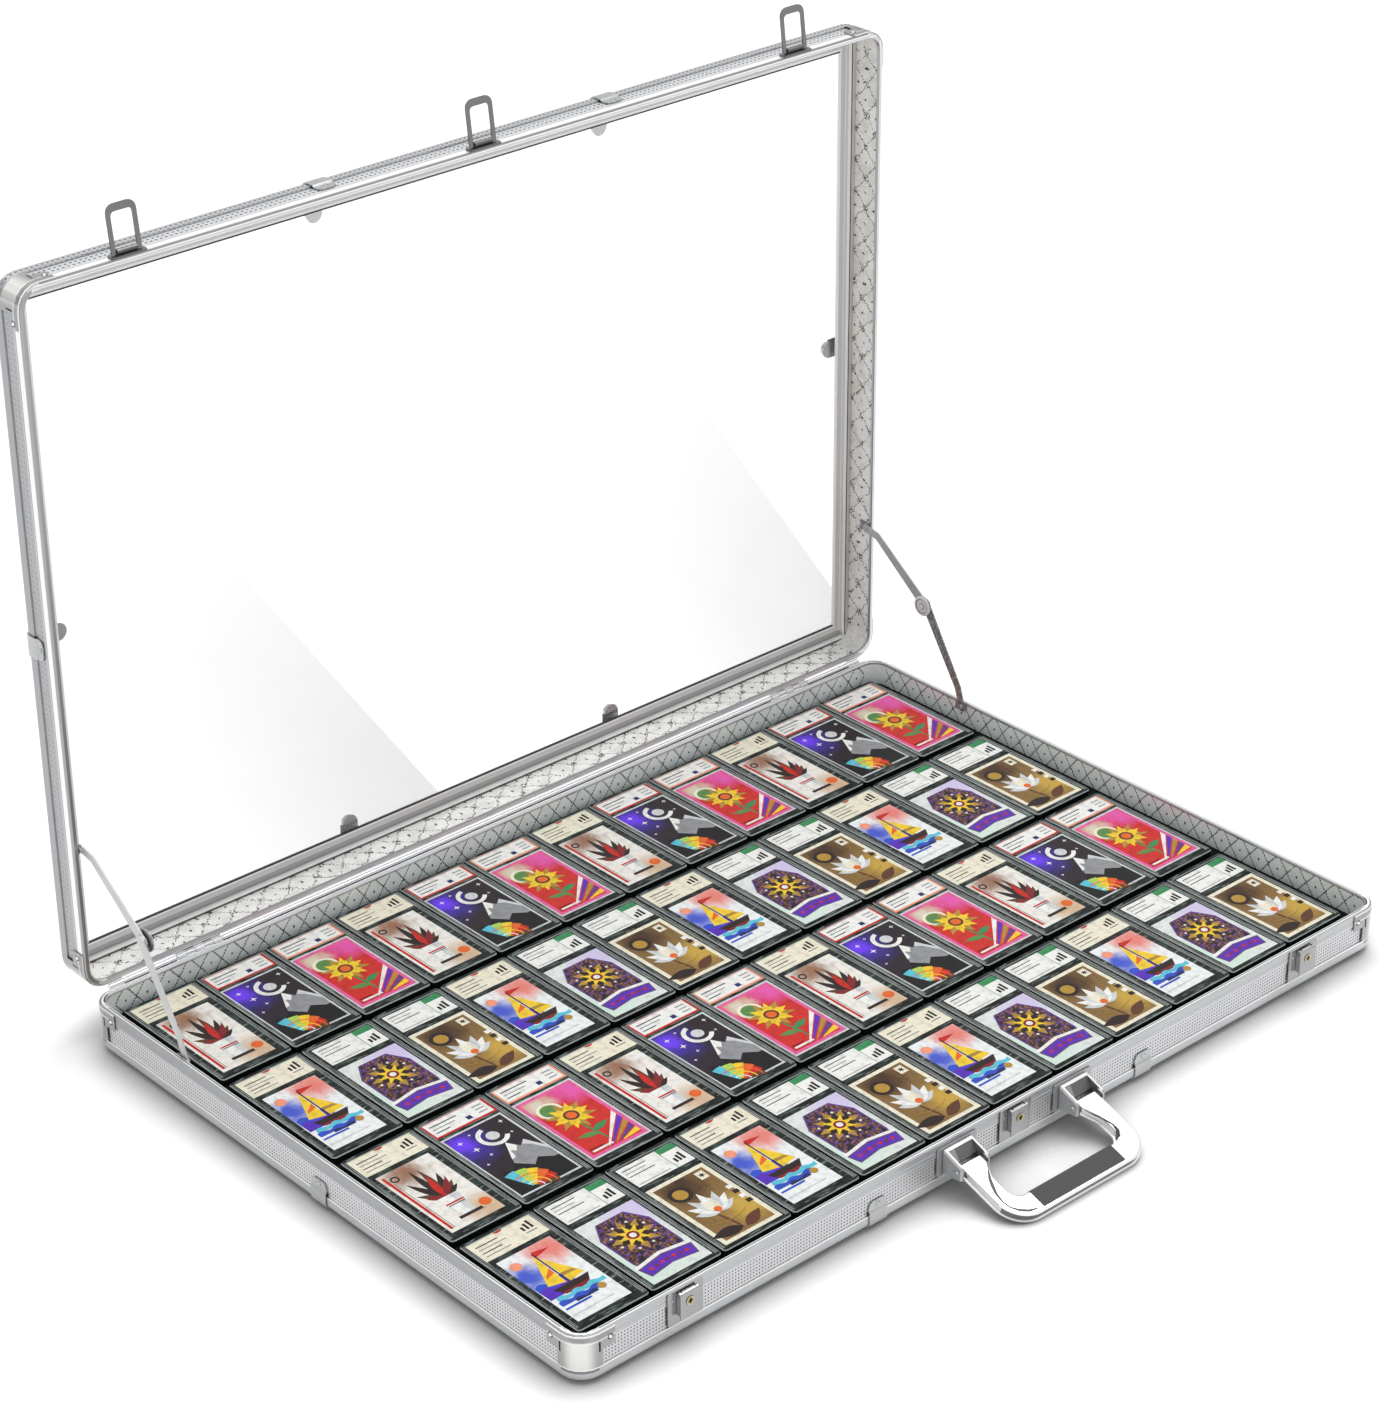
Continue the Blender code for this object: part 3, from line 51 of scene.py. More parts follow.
LID_RIM = Vector(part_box("lid_wall")[0]).y
CORNER_RADIUS = 19 * MM
RIM_DEPTH = 10.6 * MM

# The base is open upwards and the lid, which stands upright, towards the front, so each has its own axis
# through its depth and its own axis across it. Both are longest along x.
BASE_AXES = ("z", "y")
LID_AXES = ("y", "z")
MIDDLES = {"y": (CASE_LOW.y + CASE_HIGH.y) / 2, "z": (LID_LOW.z + LID_HIGH.z) / 2}

# The camera that was fitted to the photograph. Its distances are shares of the case's width,
# measured from the trim's lower front left corner, and its centre is in the image's pixels.
IMAGE_WIDTH = 1393
IMAGE_HEIGHT = 1415
CAMERA_AZIMUTH = -0.73602
CAMERA_ELEVATION = 0.50579
CAMERA_ROLL = -0.00342
CAMERA_TARGET = Vector((-0.034053, -0.212920, 0.684720))
CAMERA_DISTANCE = 2.535952
CAMERA_FOCUS = 3782.216
CAMERA_CENTRE = (723.991, 750.651)
SENSOR = 36.0


def linear(colour):
    """The shader's colour for a colour as an image shows it, from 0 to 255."""
    def channel(value):
        value /= 255
        return value / 12.92 if value <= 0.04045 else ((value + 0.055) / 1.055) ** 2.4
    return (*(channel(value) for value in colour), 1.0)


def scaled(colour, share):
    return tuple(value * share for value in colour)


def make_camera():
    """A camera with the photograph's angle, distance, lens and frame."""
    azimuth, elevation, roll = CAMERA_AZIMUTH, CAMERA_ELEVATION, CAMERA_ROLL
    level = Vector((math.cos(azimuth), math.sin(azimuth), 0))
    back = Vector((math.sin(azimuth), -math.cos(azimuth), math.tan(elevation))) * math.cos(elevation)
    rise = back.cross(level)
    right = level * math.cos(roll) + rise * math.sin(roll)
    up = rise * math.cos(roll) - level * math.sin(roll)
    data = bpy.data.cameras.new("camera")
    data.sensor_fit = "VERTICAL"
    data.sensor_height = SENSOR
    data.lens = CAMERA_FOCUS / IMAGE_HEIGHT * SENSOR
    data.shift_x = -(CAMERA_CENTRE[0] - IMAGE_WIDTH / 2) / IMAGE_HEIGHT
    data.shift_y = (CAMERA_CENTRE[1] - IMAGE_HEIGHT / 2) / IMAGE_HEIGHT
    camera = bpy.data.objects.new("camera", data)
    turn = Matrix((right, up, back)).transposed().to_4x4()
    place = CASE_LOW + (CAMERA_TARGET + back * CAMERA_DISTANCE) * CASE_WIDTH
    camera.matrix_world = Matrix.Translation(place) @ turn
    bpy.context.scene.collection.objects.link(camera)
    bpy.context.scene.camera = camera


class Field:
    """A number that varies over a surface: a node's output, with plain arithmetic on it."""

    def __init__(self, tree, socket):
        self.tree = tree
        self.socket = socket

    def apply(self, operation, *others):
        node = self.tree.nodes.new("ShaderNodeMath")
        node.operation = operation
        for slot, value in zip(node.inputs, (self, *others)):
            feed(self.tree, slot, value)
        return Field(self.tree, node.outputs[0])

    def __add__(self, other):
        return self.apply("ADD", other)

    def __sub__(self, other):
        return self.apply("SUBTRACT", other)

    def __mul__(self, other):
        return self.apply("MULTIPLY", other)

    def __truediv__(self, other):
        return self.apply("DIVIDE", other)

    def __gt__(self, other):
        return self.apply("GREATER_THAN", other)

    def __lt__(self, other):
        return self.apply("LESS_THAN", other)

    def most(self, other):
        return self.apply("MAXIMUM", other)

    def least(self, other):
        return self.apply("MINIMUM", other)

    def size(self):
        return self.apply("ABSOLUTE")

    def inverse(self):
        return self * -1 + 1

    def cycle(self):
        """Distance from the nearest whole number, from 0 to 0.5."""
        return (self - self.apply("ROUND")).size()

    def distance(self, other):
        """Distance from the place where both fields are 0."""
        return (self * self + other * other).apply("SQRT")

    def between(self, low, high):
        return (self > low) * (self < high)

    def near(self, place, reach):
        return (self - place).size() < reach

    def ease(self, low, high):
        """0 below low, 1 above high and smooth between them."""
        node = self.tree.nodes.new("ShaderNodeMapRange")
        node.interpolation_type = "SMOOTHSTEP"
        feed(self.tree, node.inputs["Value"], self)
        node.inputs["From Min"].default_value = low
        node.inputs["From Max"].default_value = high
        return Field(self.tree, node.outputs[0])


def feed(tree, slot, value):
    """Links a field or a socket to the slot, or sets it to a plain value."""
    if isinstance(value, Field):
        tree.links.new(value.socket, slot)
    elif isinstance(value, bpy.types.NodeSocket):
        tree.links.new(value, slot)
    else:
        slot.default_value = value


def parts(tree, vector):
    """A vector's three numbers as fields."""
    node = tree.nodes.new("ShaderNodeSeparateXYZ")
    tree.links.new(vector, node.inputs[0])
    return [Field(tree, output) for output in node.outputs]


class Finish:
    """A node material. Its colours run from 0 to 255, and its places are metres along its object's axes."""

    def __init__(self, name, colour, roughness, metallic=0.0, **values):
        self.material = bpy.data.materials.new(name)
        self.material.use_nodes = True
        self.tree = self.material.node_tree
        self.shader = self.tree.nodes["Principled BSDF"]
        self.colour = linear(colour)
        self.set("Base Color", self.colour)
        self.set("Roughness", roughness)
        self.set("Metallic", metallic)
        for key, value in values.items():
            self.set(key.replace("_", " ").title().replace("Ior", "IOR"), value)
        coords = self.tree.nodes.new("ShaderNodeTexCoord")
        self.place = coords.outputs["Object"]
        self.x, self.y, self.z = parts(self.tree, self.place)
        self.nx, self.ny, self.nz = parts(self.tree, coords.outputs["Normal"])
        self.places = {"x": self.x, "y": self.y, "z": self.z}
        self.faces = {"x": self.nx, "y": self.ny, "z": self.nz}

    def set(self, key, value):
        feed(self.tree, self.shader.inputs[key], value)

    def along(self, across_axis):
        """The place along a wall round the case: x on a long wall, and the place across on a short one."""
        short = self.nx.size() > self.faces[across_axis].size()
        return self.x + (self.places[across_axis] - self.x) * short

    def past_corner(self, across_axis):
        """How far each point is past the start of the corners' bend, along x and across."""
        side = self.x.size() - (CASE_WIDTH / 2 - CORNER_RADIUS)
        end = (self.places[across_axis] - MIDDLES[across_axis]).size() - (CASE_DEPTH / 2 - CORNER_RADIUS)
        return side, end

    def noise(self, size, detail=2.0, stretch=(1, 1, 1)):
        """A noise from 0 to 1 with features of this size, drawn out by stretch along each axis."""
        scale = self.tree.nodes.new("ShaderNodeVectorMath")
        scale.operation = "DIVIDE"
        self.tree.links.new(self.place, scale.inputs[0])
        scale.inputs[1].default_value = tuple(size * share for share in stretch)
        node = self.tree.nodes.new("ShaderNodeTexNoise")
        node.inputs["Scale"].default_value = 1.0
        node.inputs["Detail"].default_value = detail
        self.tree.links.new(scale.outputs[0], node.inputs["Vector"])
        return Field(self.tree, node.outputs["Fac"])

    def paint(self, mask, colour):
        """Lays another colour over what is there, where mask is 1."""
        node = self.tree.nodes.new("ShaderNodeMix")
        node.data_type = "RGBA"
        node.clamp_factor = True
        feed(self.tree, node.inputs["Factor"], mask)
        feed(self.tree, node.inputs["A"], self.colour)
        feed(self.tree, node.inputs["B"], linear(colour))
        self.colour = node.outputs["Result"]
        self.set("Base Color", self.colour)

    def bump(self, height, depth):
        """Raises the surface by depth metres where height is 1."""
        node = self.tree.nodes.new("ShaderNodeBump")
        node.inputs["Distance"].default_value = depth
        node.inputs["Strength"].default_value = 1.0
        feed(self.tree, node.inputs["Height"], height)
        self.set("Normal", node.outputs["Normal"])


METAL_GRAIN = 0.5 * MM
METAL_CLOUD = 24 * MM


def metal(name, colour, roughness, grain=0.06, stretch=(1, 1, 1), spread=0.16, depth=0.004 * MM):
    """Metal with a fine grain, slightly uneven in tone and gloss."""
    finish = Finish(name, colour, roughness, 1.0)
    fine = finish.noise(METAL_GRAIN, 3.0, stretch)
    broad = finish.noise(METAL_CLOUD, 2.0)
    finish.paint((broad - 0.35) * 0.9, scaled(colour, 1 - spread * 0.5))
    finish.paint((fine - 0.5) * grain * 8, scaled(colour, 1 - spread))
    finish.set("Roughness", (fine - 0.5) * grain * 2 + (broad - 0.5) * grain + roughness)
    finish.bump(fine, depth)
    return finish


PLASTIC_CLOUD = 40 * MM


def plastic(name, colour, roughness, grain=0.3 * MM, depth=0.02 * MM, **values):
    """Moulded plastic with a fine grain and slightly uneven tone."""
    finish = Finish(name, colour, roughness, **values)
    fine = finish.noise(grain, 3.0)
    broad = finish.noise(PLASTIC_CLOUD, 2.0)
    finish.paint((broad - 0.3) * 0.5, scaled(colour, 0.88))
    finish.set("Roughness", (fine - 0.5) * 0.2 + roughness)
    finish.bump(fine, depth)
    return finish


ALUMINIUM = (212, 214, 216)
DOT_PITCHES = {BASE_AXES: 2.9 * MM, LID_AXES: 4.5 * MM}
DOT_EDGE = (0.012, 0.085)
DOT_DEPTH = 0.16 * MM
BAND_LINE = 0.4 * MM

# The lid's wall has a painted highlight and, on top, a painted shade at these distances from its band towards
# the rim.
LID_HIGHLIGHT, LID_HIGHLIGHT_HALF = 5 * MM, 3 * MM
LID_SHADE = 8.6 * MM

# The rim's face carries painted highlight lines at these distances from the outside, and on the base a
# painted highlight and a painted shade round each corner. Painted shade tones it down this near to the left
# and, on the base, to the front.
RIM_HIGHLIGHT_LINES = (2.2 * MM, 4.6 * MM)
HIGHLIGHT_LINE_HALF = 0.45 * MM
RIM_SHADE_NEAR = 12 * MM
CORNER_LEAD = 3 * MM
CORNER_HIGHLIGHT = (1.9 * MM, 3.4 * MM)
CORNER_SHADE = (3.9 * MM, 7.5 * MM)


def dot_mask(finish, axes, start):
    """1 on each of the fine dots in a square grid on the walls' outer faces, that starts at this depth."""
    depth_axis, across_axis = axes
    pitch = DOT_PITCHES[axes]
    column = (finish.along(across_axis) / pitch).cycle()
    row = ((finish.places[depth_axis] - start) / pitch).cycle()
    return (column * column + row * row).ease(*DOT_EDGE).inverse()


def paint_rim(finish, axes, way):
    """Painted highlight lines and painted shade on the rim's face, which looks along the depth axis, or
    against it where way is -1.
    """
    depth_axis, across_axis = axes
    face = (finish.faces[depth_axis] * way) > 0.8
    left = finish.x < CASE_LOW.x + RIM_SHADE_NEAR
    side, end = finish.past_corner(across_axis)
    if axes == BASE_AXES:
        # Painted shade near the left and the front.
        finish.paint(face * left.most(finish.y < CASE_LOW.y + RIM_SHADE_NEAR) * 0.9, (132, 133, 135))
        # A painted highlight and a painted shade round each corner.
        bend = side.distance(end) * -1 + CORNER_RADIUS
        corner = face * (side.least(end) > -CORNER_LEAD)
        finish.paint(corner * bend.between(*CORNER_HIGHLIGHT), (255, 255, 255))
        finish.paint(corner * bend.between(*CORNER_SHADE), (66, 66, 68))
    inward = side.most(end) * -1 + CORNER_RADIUS
    # Painted highlight lines.
    for place in RIM_HIGHLIGHT_LINES:
        finish.paint(face * inward.near(place, HIGHLIGHT_LINE_HALF), (246, 247, 248))
    if axes == LID_AXES:
        # Painted shade near the left.
        finish.paint(face * left * 0.85, (156, 157, 158))


def dotted_wall(name, axes, start, rim):
    """Satin aluminium: a band of fine dots between the trim and the rim, with painted highlight lines along
    its edges and painted shade and light by side.
    """
    depth_axis, _ = axes
    finish = metal(name, ALUMINIUM, 0.36, stretch=tuple(1 if axis == depth_axis else 40 for axis in "xyz"))
    way = 1 if rim > start else -1
    stop = rim - way * RIM_DEPTH
    depth = finish.places[depth_axis]
    band = depth.between(min(start, stop), max(start, stop))
    dots = dot_mask(finish, axes, start) * band
    left = finish.nx < -0.5
    # Painted shade on the walls that face left.
    finish.paint(left * 0.7, (160, 161, 163))
    if axes == BASE_AXES:
        # On the base: painted shade on the front, and painted light on the band, more at the left, then the
        # dots.
        finish.paint((finish.ny < -0.5) * 0.5, (180, 181, 183))
        finish.paint(band * left * 0.5, (244, 244, 246))
        finish.paint(band * 0.45, (240, 240, 242))
        finish.paint(dots, (96, 98, 100))
    else:
        # On the lid: a lighter band, painted shade on it at the left, a painted highlight towards the rim,
        # painted shade on top next to the rim, and the dots.
        finish.paint(band * 0.7, (228, 229, 231))
        finish.paint(band * left * 0.75, (174, 175, 177))
        finish.paint(depth.near(stop - LID_HIGHLIGHT, LID_HIGHLIGHT_HALF), (255, 255, 255))
        finish.paint((depth < stop - LID_SHADE) * (finish.nz > 0.7), (150, 150, 152))
        finish.paint(dots * ((finish.nz > 0.5) * 0.8 + 0.2), (34, 35, 36))
    # Painted highlight lines along the band's edges.
    for line in (start, stop):
        finish.paint(depth.near(line, BAND_LINE), (250, 250, 251))
    paint_rim(finish, axes, way)
    finish.bump(dots * -1, DOT_DEPTH)
    return finish


TRIM_ALUMINIUM = (206, 208, 210)
TRIM_STRETCH = (30, 30, 30)
TRIM_LINE = 1.1 * MM
LID_TRIM_EDGE = 3 * MM


def base_trim(name):
    """Satin trim with a painted highlight line beside the wall, and a dark line below it round the corners.
    """
    finish = metal(name, TRIM_ALUMINIUM, 0.3, stretch=TRIM_STRETCH)
    below = finish.z * -1 + CASE_HIGH.z
    # A painted highlight line along the top.
    finish.paint(below < TRIM_LINE, (254, 254, 254))
    side, end = finish.past_corner("y")
    finish.paint(below.near(2 * TRIM_LINE, TRIM_LINE) * (side.least(end) > 0), (140, 140, 142))
    return finish


def lid_trim(name):
    """Satin trim with more of the wall's dots on top, and painted shade at the left."""
    finish = metal(name, TRIM_ALUMINIUM, 0.3, stretch=TRIM_STRETCH)
    flat = (finish.ny.size() < 0.3) * (finish.y < LID_HIGH.y - LID_TRIM_EDGE)
    finish.paint(flat * 0.7, (206, 207, 209))
    finish.paint(flat * (finish.nz > 0.5) * dot_mask(finish, LID_AXES, LID_LOW.y), (48, 49, 50))
    # Painted shade on the faces that look left.
    finish.paint(flat * (finish.nx < -0.5) * 0.7, (160, 161, 163))
    return finish


# The lattice's line width is a length. Its dashes are counted along a diamond's side, and the other measures
# are shares of it, the dot's squared.
LATTICE_LINE = 0.806 * MM
LATTICE_DASHES = 7.0
LATTICE_DASH = 0.36
LATTICE_DOT = 0.004
LATTICE_KEPT = 0.46
SMOOTH = {"colour": (242, 250, 249), "wobble": 0.08, "blotches": 0.1, "gaps": 0.36, "tufts": 0.09}
CRUMPLED = {"colour": (248, 247, 243), "wobble": 0.3, "blotches": 0.4, "gaps": 0.47, "tufts": 0.17}


def lining(name, axes, centre, period, height, style):
    """Light lining with a lattice of dotted lines, a dot in each diamond, dark tufts at the crossings, darker
    blotches and streaks of painted highlight.
    """
    depth_axis, across_axis = axes
    finish = Finish(name, style["colour"], 0.62)
    wobble = (finish.noise(3.2 * MM, 1.0) - 0.5) + (finish.noise(15 * MM, 1.0) - 0.5) * 1.2
    level = (finish.places[depth_axis] - centre) / height + wobble * style["wobble"]
    along = finish.along(across_axis) / period
    rising, falling = along + level, along - level
    from_rising, from_falling = rising.cycle(), falling.cycle()
    width = LATTICE_LINE / period
    first = (from_rising < width) * ((falling * LATTICE_DASHES).cycle() < LATTICE_DASH)
    second = (from_falling < width) * ((rising * LATTICE_DASHES).cycle() < LATTICE_DASH)
    across, up = (rising - 0.5).cycle(), (falling - 0.5).cycle()
    dot = (across * across + up * up) < LATTICE_DOT
    # Darker blotches, as strong as the style's share.
    finish.paint(finish.noise(16 * MM, 2.0).ease(0.4, 0.62) * style["blotches"], (206, 204, 199))
    # Streaks of painted highlight along the length.
    finish.paint(finish.noise(5 * MM, 2.0, (2.2, 1, 1)).ease(0.52, 0.66) * 0.7, (255, 255, 255))
    finish.paint(finish.noise(0.9 * MM, 1.0).ease(0.56, 0.66) * 0.22, (150, 149, 146))
    flat = (finish.nx * finish.faces[across_axis]).size() < 0.02
    kept = (finish.noise(9 * MM, 1.0) > style["gaps"]).most((from_rising + from_falling) < LATTICE_KEPT)
    tuft = finish.noise(1.5 * MM, 2.0, (1.6, 1, 1)) > 0.55
    knot = (from_rising < style["tufts"]) * (from_falling < style["tufts"]) * tuft
    mark = (first.most(second) * kept).most(dot).most(knot) * flat
    finish.paint(mark, (78, 77, 76))
    weave = finish.noise(0.4 * MM, 2.0)
    finish.set("Roughness", weave * 0.2 + 0.5)
    finish.bump(weave - mark * 0.6, 0.03 * MM)
    return finish


# Half of the opening that the lid's inner frame leaves, and its bands as colours up to a distance in
# millimetres from the opening: at the sides, and at the top and foot. The white bands are painted highlights
# on the frame's steps, the grey ones its satin tone with painted shade, and the side's outer band the lining
# in painted shade.
RAIL_OPENING = Vector((408 * MM, 273 * MM))
RAIL_SIDE_BANDS = (
    (24.0, (206, 204, 196)), (14.8, (40, 40, 42)), (13.6, (255, 255, 255)), (11.4, (214, 214, 214)),
    (8.6, (236, 236, 236)), (7.4, (208, 208, 208)), (2.4, (250, 250, 250)))
RAIL_FOOT_BANDS = (
    (24.0, (90, 90, 90)), (16.8, (255, 255, 255)), (14.6, (226, 226, 226)), (12.8, (170, 170, 170)),
    (7.6, (214, 214, 214)), (3.2, (250, 250, 250)), (1.4, (20, 20, 22)))


def rail(name):
    """The lid's inner frame: satin bands of painted highlight and shade that step down to the clear panel,
    with a dark line beside it.
    """
    finish = plastic(name, (226, 226, 225), 0.34, coat_weight=0.3)
    side = finish.x.size() - RAIL_OPENING.x
    foot = (finish.z - MIDDLES["z"]).size() - RAIL_OPENING.y
    for edge, colour in RAIL_SIDE_BANDS:
        finish.paint(side < edge * MM, colour)
    for edge, colour in RAIL_FOOT_BANDS:
        finish.paint((foot > side) * (foot < edge * MM), colour)
    return finish


def stay_finish(name, colour, patchiness):
    """Satin steel of the folding stays, with light patches as strong as patchiness."""
    finish = metal(name, colour, 0.45, grain=0.12, spread=0.3)
    finish.set("Metallic", 0.35)
    patches = finish.noise(4 * MM, 3.0, (1, 0.5, 1)).ease(0.48, 0.62)
    finish.paint(patches * patchiness, (210, 210, 210))
    return finish


# Depths are from the rim, and places along a guard's wing from the start of the bend.
GUARD_BEND = (0.5 * MM, 11 * MM)
GUARD_SHADE_START = (1.0 * MM, 2.2 * MM)
GUARD_SHADE_STOP = (5.4 * MM, 7.0 * MM)
GUARD_HIGHLIGHT_LINES = (1.4 * MM, 7.4 * MM)
GUARD_RIVET_PLACE = -10 * MM
GUARD_RIVET_DEPTH = WALL_TOP - 35 * MM
GUARD_RIVET, GUARD_RIVET_HIGHLIGHT = 2.5 * MM, 1.5 * MM
GUARD_SLIT_PLACE, GUARD_SLIT_HALF = -0.2 * MM, 0.8 * MM
GUARD_SLIT_DEPTHS = (WALL_TOP - 35.2 * MM, WALL_TOP - 26.6 * MM)


def guard(name, axes, rim, way):
    """Polished corner guards: a painted highlight round the bend, a band of painted shade between painted
    highlight lines, and rivets with a painted highlight.
    """
    depth_axis, across_axis = axes
    finish = metal(name, (176, 177, 178), 0.3)
    depth = (finish.places[depth_axis] - rim) * way
    side, end = finish.past_corner(across_axis)
    wing = side.least(end)
    bend = wing.ease(*GUARD_BEND)
    # A painted highlight round the bend.
    finish.paint(bend, (238, 237, 234))
    # A band of painted shade at these depths from the rim, deeper round the bend.
    shade = depth.ease(*GUARD_SHADE_START) * depth.ease(*GUARD_SHADE_STOP).inverse()
    finish.paint(shade * (bend * 0.55 + 0.2), (118, 118, 120))
    # Painted highlight lines.
    for place in GUARD_HIGHLIGHT_LINES:
        finish.paint(depth.near(place, HIGHLIGHT_LINE_HALF) * 0.8, (248, 248, 248))
    if axes == BASE_AXES:
        slit = wing.near(GUARD_SLIT_PLACE, GUARD_SLIT_HALF) * depth.between(*GUARD_SLIT_DEPTHS)
        finish.paint(slit, (58, 58, 60))
    radius = (wing - GUARD_RIVET_PLACE).distance(depth - GUARD_RIVET_DEPTH)
    finish.paint(radius < GUARD_RIVET, (74, 74, 76))
    # A painted highlight on each rivet's head.
    finish.paint(radius < GUARD_RIVET_HIGHLIGHT, (255, 255, 255))
    return finish


LATCH_PITCH = 333.5 * MM
KEY_HEIGHT = 33.2 * MM
KEY_RING = 2.7 * MM
KEY_HOLE = 1.1 * MM
KEY_SLOT = (0.55 * MM, 2.3 * MM)
KEY_NOTCH = (1.9 * MM, 0.5 * MM)


def key_finish(name):
    """A brass lock cylinder with a light ring and a dark keyhole."""
    finish = metal(name, (166, 146, 92), 0.3)
    across = (finish.x / LATCH_PITCH).cycle() * LATCH_PITCH
    level = (finish.z - KEY_HEIGHT).size()
    radius = across.distance(level)
    finish.paint(radius > KEY_RING, (214, 206, 180))
    hole = radius < KEY_HOLE
    for half_width, half_height in (KEY_SLOT, KEY_NOTCH):
        hole = hole.most((across < half_width) * (level < half_height))
    finish.paint(hole, (38, 30, 20))
    return finish


# Painted glare in slanted bands on the clear panel: their right edges lie where x + GLARE_SLANT * z is
# GLARE_EDGE, and every GLARE_PERIOD from there. They grow towards the panel's foot.
GLARE_SLANT = 0.69
GLARE_EDGE = 484 * MM
GLARE_PERIOD = 488 * MM
GLARE_FADE = (60 * MM, 560 * MM)
GLARE_HAZE = 0.22
CLEAR_HAZE = 0.03


def clear_sheet(name):
    """Clear acrylic, with a faint haze and painted glare in slanted bands."""
    finish = Finish(name, (200, 204, 206), 0.05)
    band = ((finish.x + finish.z * GLARE_SLANT - GLARE_EDGE) / GLARE_PERIOD).apply("FRACT").ease(0.3, 1.1)
    lower = finish.z.ease(*GLARE_FADE) * -0.8 + 1
    haze = finish.noise(120 * MM, 1.0)
    # The painted glare bands are less clear.
    finish.set("Alpha", band * lower * GLARE_HAZE + CLEAR_HAZE + haze * 0.01)
    finish.set("Roughness", haze * 0.04 + 0.03)
    return finish


# Each lattice's centre along the depth axis, its period along the wall and its height.
BASE_LATTICE = (31 * MM, 20.65 * MM, 27 * MM)
LID_LATTICE = (LID_RIM + RIM_DEPTH * 1.4, 28 * MM, 26 * MM)

finishes = {
    "base_wall": dotted_wall("base_wall_aluminium", BASE_AXES, CASE_HIGH.z, WALL_TOP),
    "lid_wall": dotted_wall("lid_wall_aluminium", LID_AXES, LID_LOW.y, LID_RIM),
    "trim": base_trim("trim_aluminium"),
    "lid_trim": lid_trim("lid_trim_aluminium"),
    "corner": guard("corner_steel", BASE_AXES, WALL_TOP, -1),
    "lid_corner": guard("lid_corner_steel", LID_AXES, LID_RIM, 1),
    "mount": metal("mount_steel", (186, 187, 188), 0.38),
    "hinge": metal("hinge_steel", (224, 225, 226), 0.26),
    "steel": metal("plated_steel", (196, 197, 198), 0.26),
    "dark": metal("satin_steel", (128, 128, 128), 0.3),
    # The stays' one steel in lit and shaded copies: painted shade on the right stays' lower links, less on
    # their upper links, and painted light on the left stays.
    "stay": stay_finish("stay_steel", (126, 126, 126), 0.5),
    "stay_upper_right_lit": stay_finish("stay_upper_steel", (172, 172, 172), 0.2),
    "stay_left_lit": stay_finish("stay_left_steel", (224, 224, 225), 0.3),
    "latch": metal("latch_steel", (176, 176, 177), 0.26),
    # A darker copy of the chrome: painted shade on the bail's side.
    "chrome_shaded_side": metal("chrome_shaded_side", (116, 116, 118), 0.1, grain=0.02, spread=0.1),
    "window": metal("mount_window_steel", (124, 124, 125), 0.34, stretch=(1, 20, 20)),
    "chrome": metal("chrome", (252, 252, 253), 0.12, grain=0.02, spread=0.05, depth=0.001 * MM),
    # Bright aluminium for the hinge beads, and a painted highlight line at the bail's step.
    "rim": metal("rim_aluminium", (236, 237, 238), 0.24, 0.015, (40, 1, 1), 0.06, 0.001 * MM),
    # A lighter steel: painted light on the bail's lip and the arms' sides.
    "bright": metal("bright_steel", (214, 215, 216), 0.16),
    "rivet": plastic("rivet_steel", (226, 226, 226), 0.3),
    # A dark chrome: strips of painted shade in the bail's creases.
    "crease": metal("painted_crease_shade", (70, 70, 72), 0.12, grain=0.02),
    "grip": plastic("grip_rubber", (84, 84, 85), 0.7, 0.4 * MM, 0.05 * MM, specular_ior_level=0.25),
    "brass": key_finish("key_brass"),
    "base_lining": lining("base_lining", BASE_AXES, *BASE_LATTICE, SMOOTH),
    "lid_lining": lining("lid_lining", LID_AXES, *LID_LATTICE, CRUMPLED),
    "rail": rail("rail_plastic"),
    "board": plastic("board_plastic", (38, 38, 40), 0.6),
    "insert": plastic("insert_foam", (9, 9, 11), 0.9, 0.6 * MM, 0.12 * MM, specular_ior_level=0.2),
    "panel": clear_sheet("clear_acrylic"),
}

NODE_FINISHES = {
    "base_wall": "base_wall", "base_trim": "trim", "base_corner": "corner", "base_hinge": "hinge",
    "base_liner": "base_lining", "base_floor": "board", "foot_clip": "steel", "card_tray": "insert",
    "lid_wall": "lid_wall", "lid_trim": "lid_trim", "lid_corner": "lid_corner", "lid_hinge": "hinge",
    "lid_liner": "lid_lining", "lid_rail": "rail", "lid_panel": "panel", "lid_clip": "steel",
    "latch_plate": "latch", "latch_lever": "latch", "latch_key": "brass", "latch_loop": "dark",
    "loop_bracket": "dark", "stay_upper_left": "stay_left_lit", "stay_lower_left": "stay_left_lit",
    "stay_upper": "stay_upper_right_lit", "stay_": "stay", "handle_mount": "mount", "handle": "chrome",
}


def dress_nodes():
    """Gives each CAD node its finish, by the first name that it starts with."""
    for name, node in nodes.items():
        key = next(finish for start, finish in NODE_FINISHES.items() if name.startswith(start))
        node.data.materials.clear()
        node.data.materials.append(finishes[key].material)


LEAST_RADIUS = 0.3 * MM


def rounded(half_x, half_y, radius, steps=4):
    """The corners of a rounded rectangle round the origin, anticlockwise."""
    points = []
    for turn, (sign_x, sign_y) in enumerate(((1, -1), (1, 1), (-1, 1), (-1, -1))):
        for step in range(steps + 1):
            angle = math.radians(-90 + 90 * (turn + step / steps))
            points.append((
                sign_x * (half_x - radius) + radius * math.cos(angle),
                sign_y * (half_y - radius) + radius * math.sin(angle)))
    return points


def insets(half_x, half_y, radius, steps=4):
    """A function for a rounded rectangle's outline, moved inwards by an inset."""
    def outline(inset):
        return rounded(half_x - inset, half_y - inset, max(radius - inset, LEAST_RADIUS), steps)
    return outline


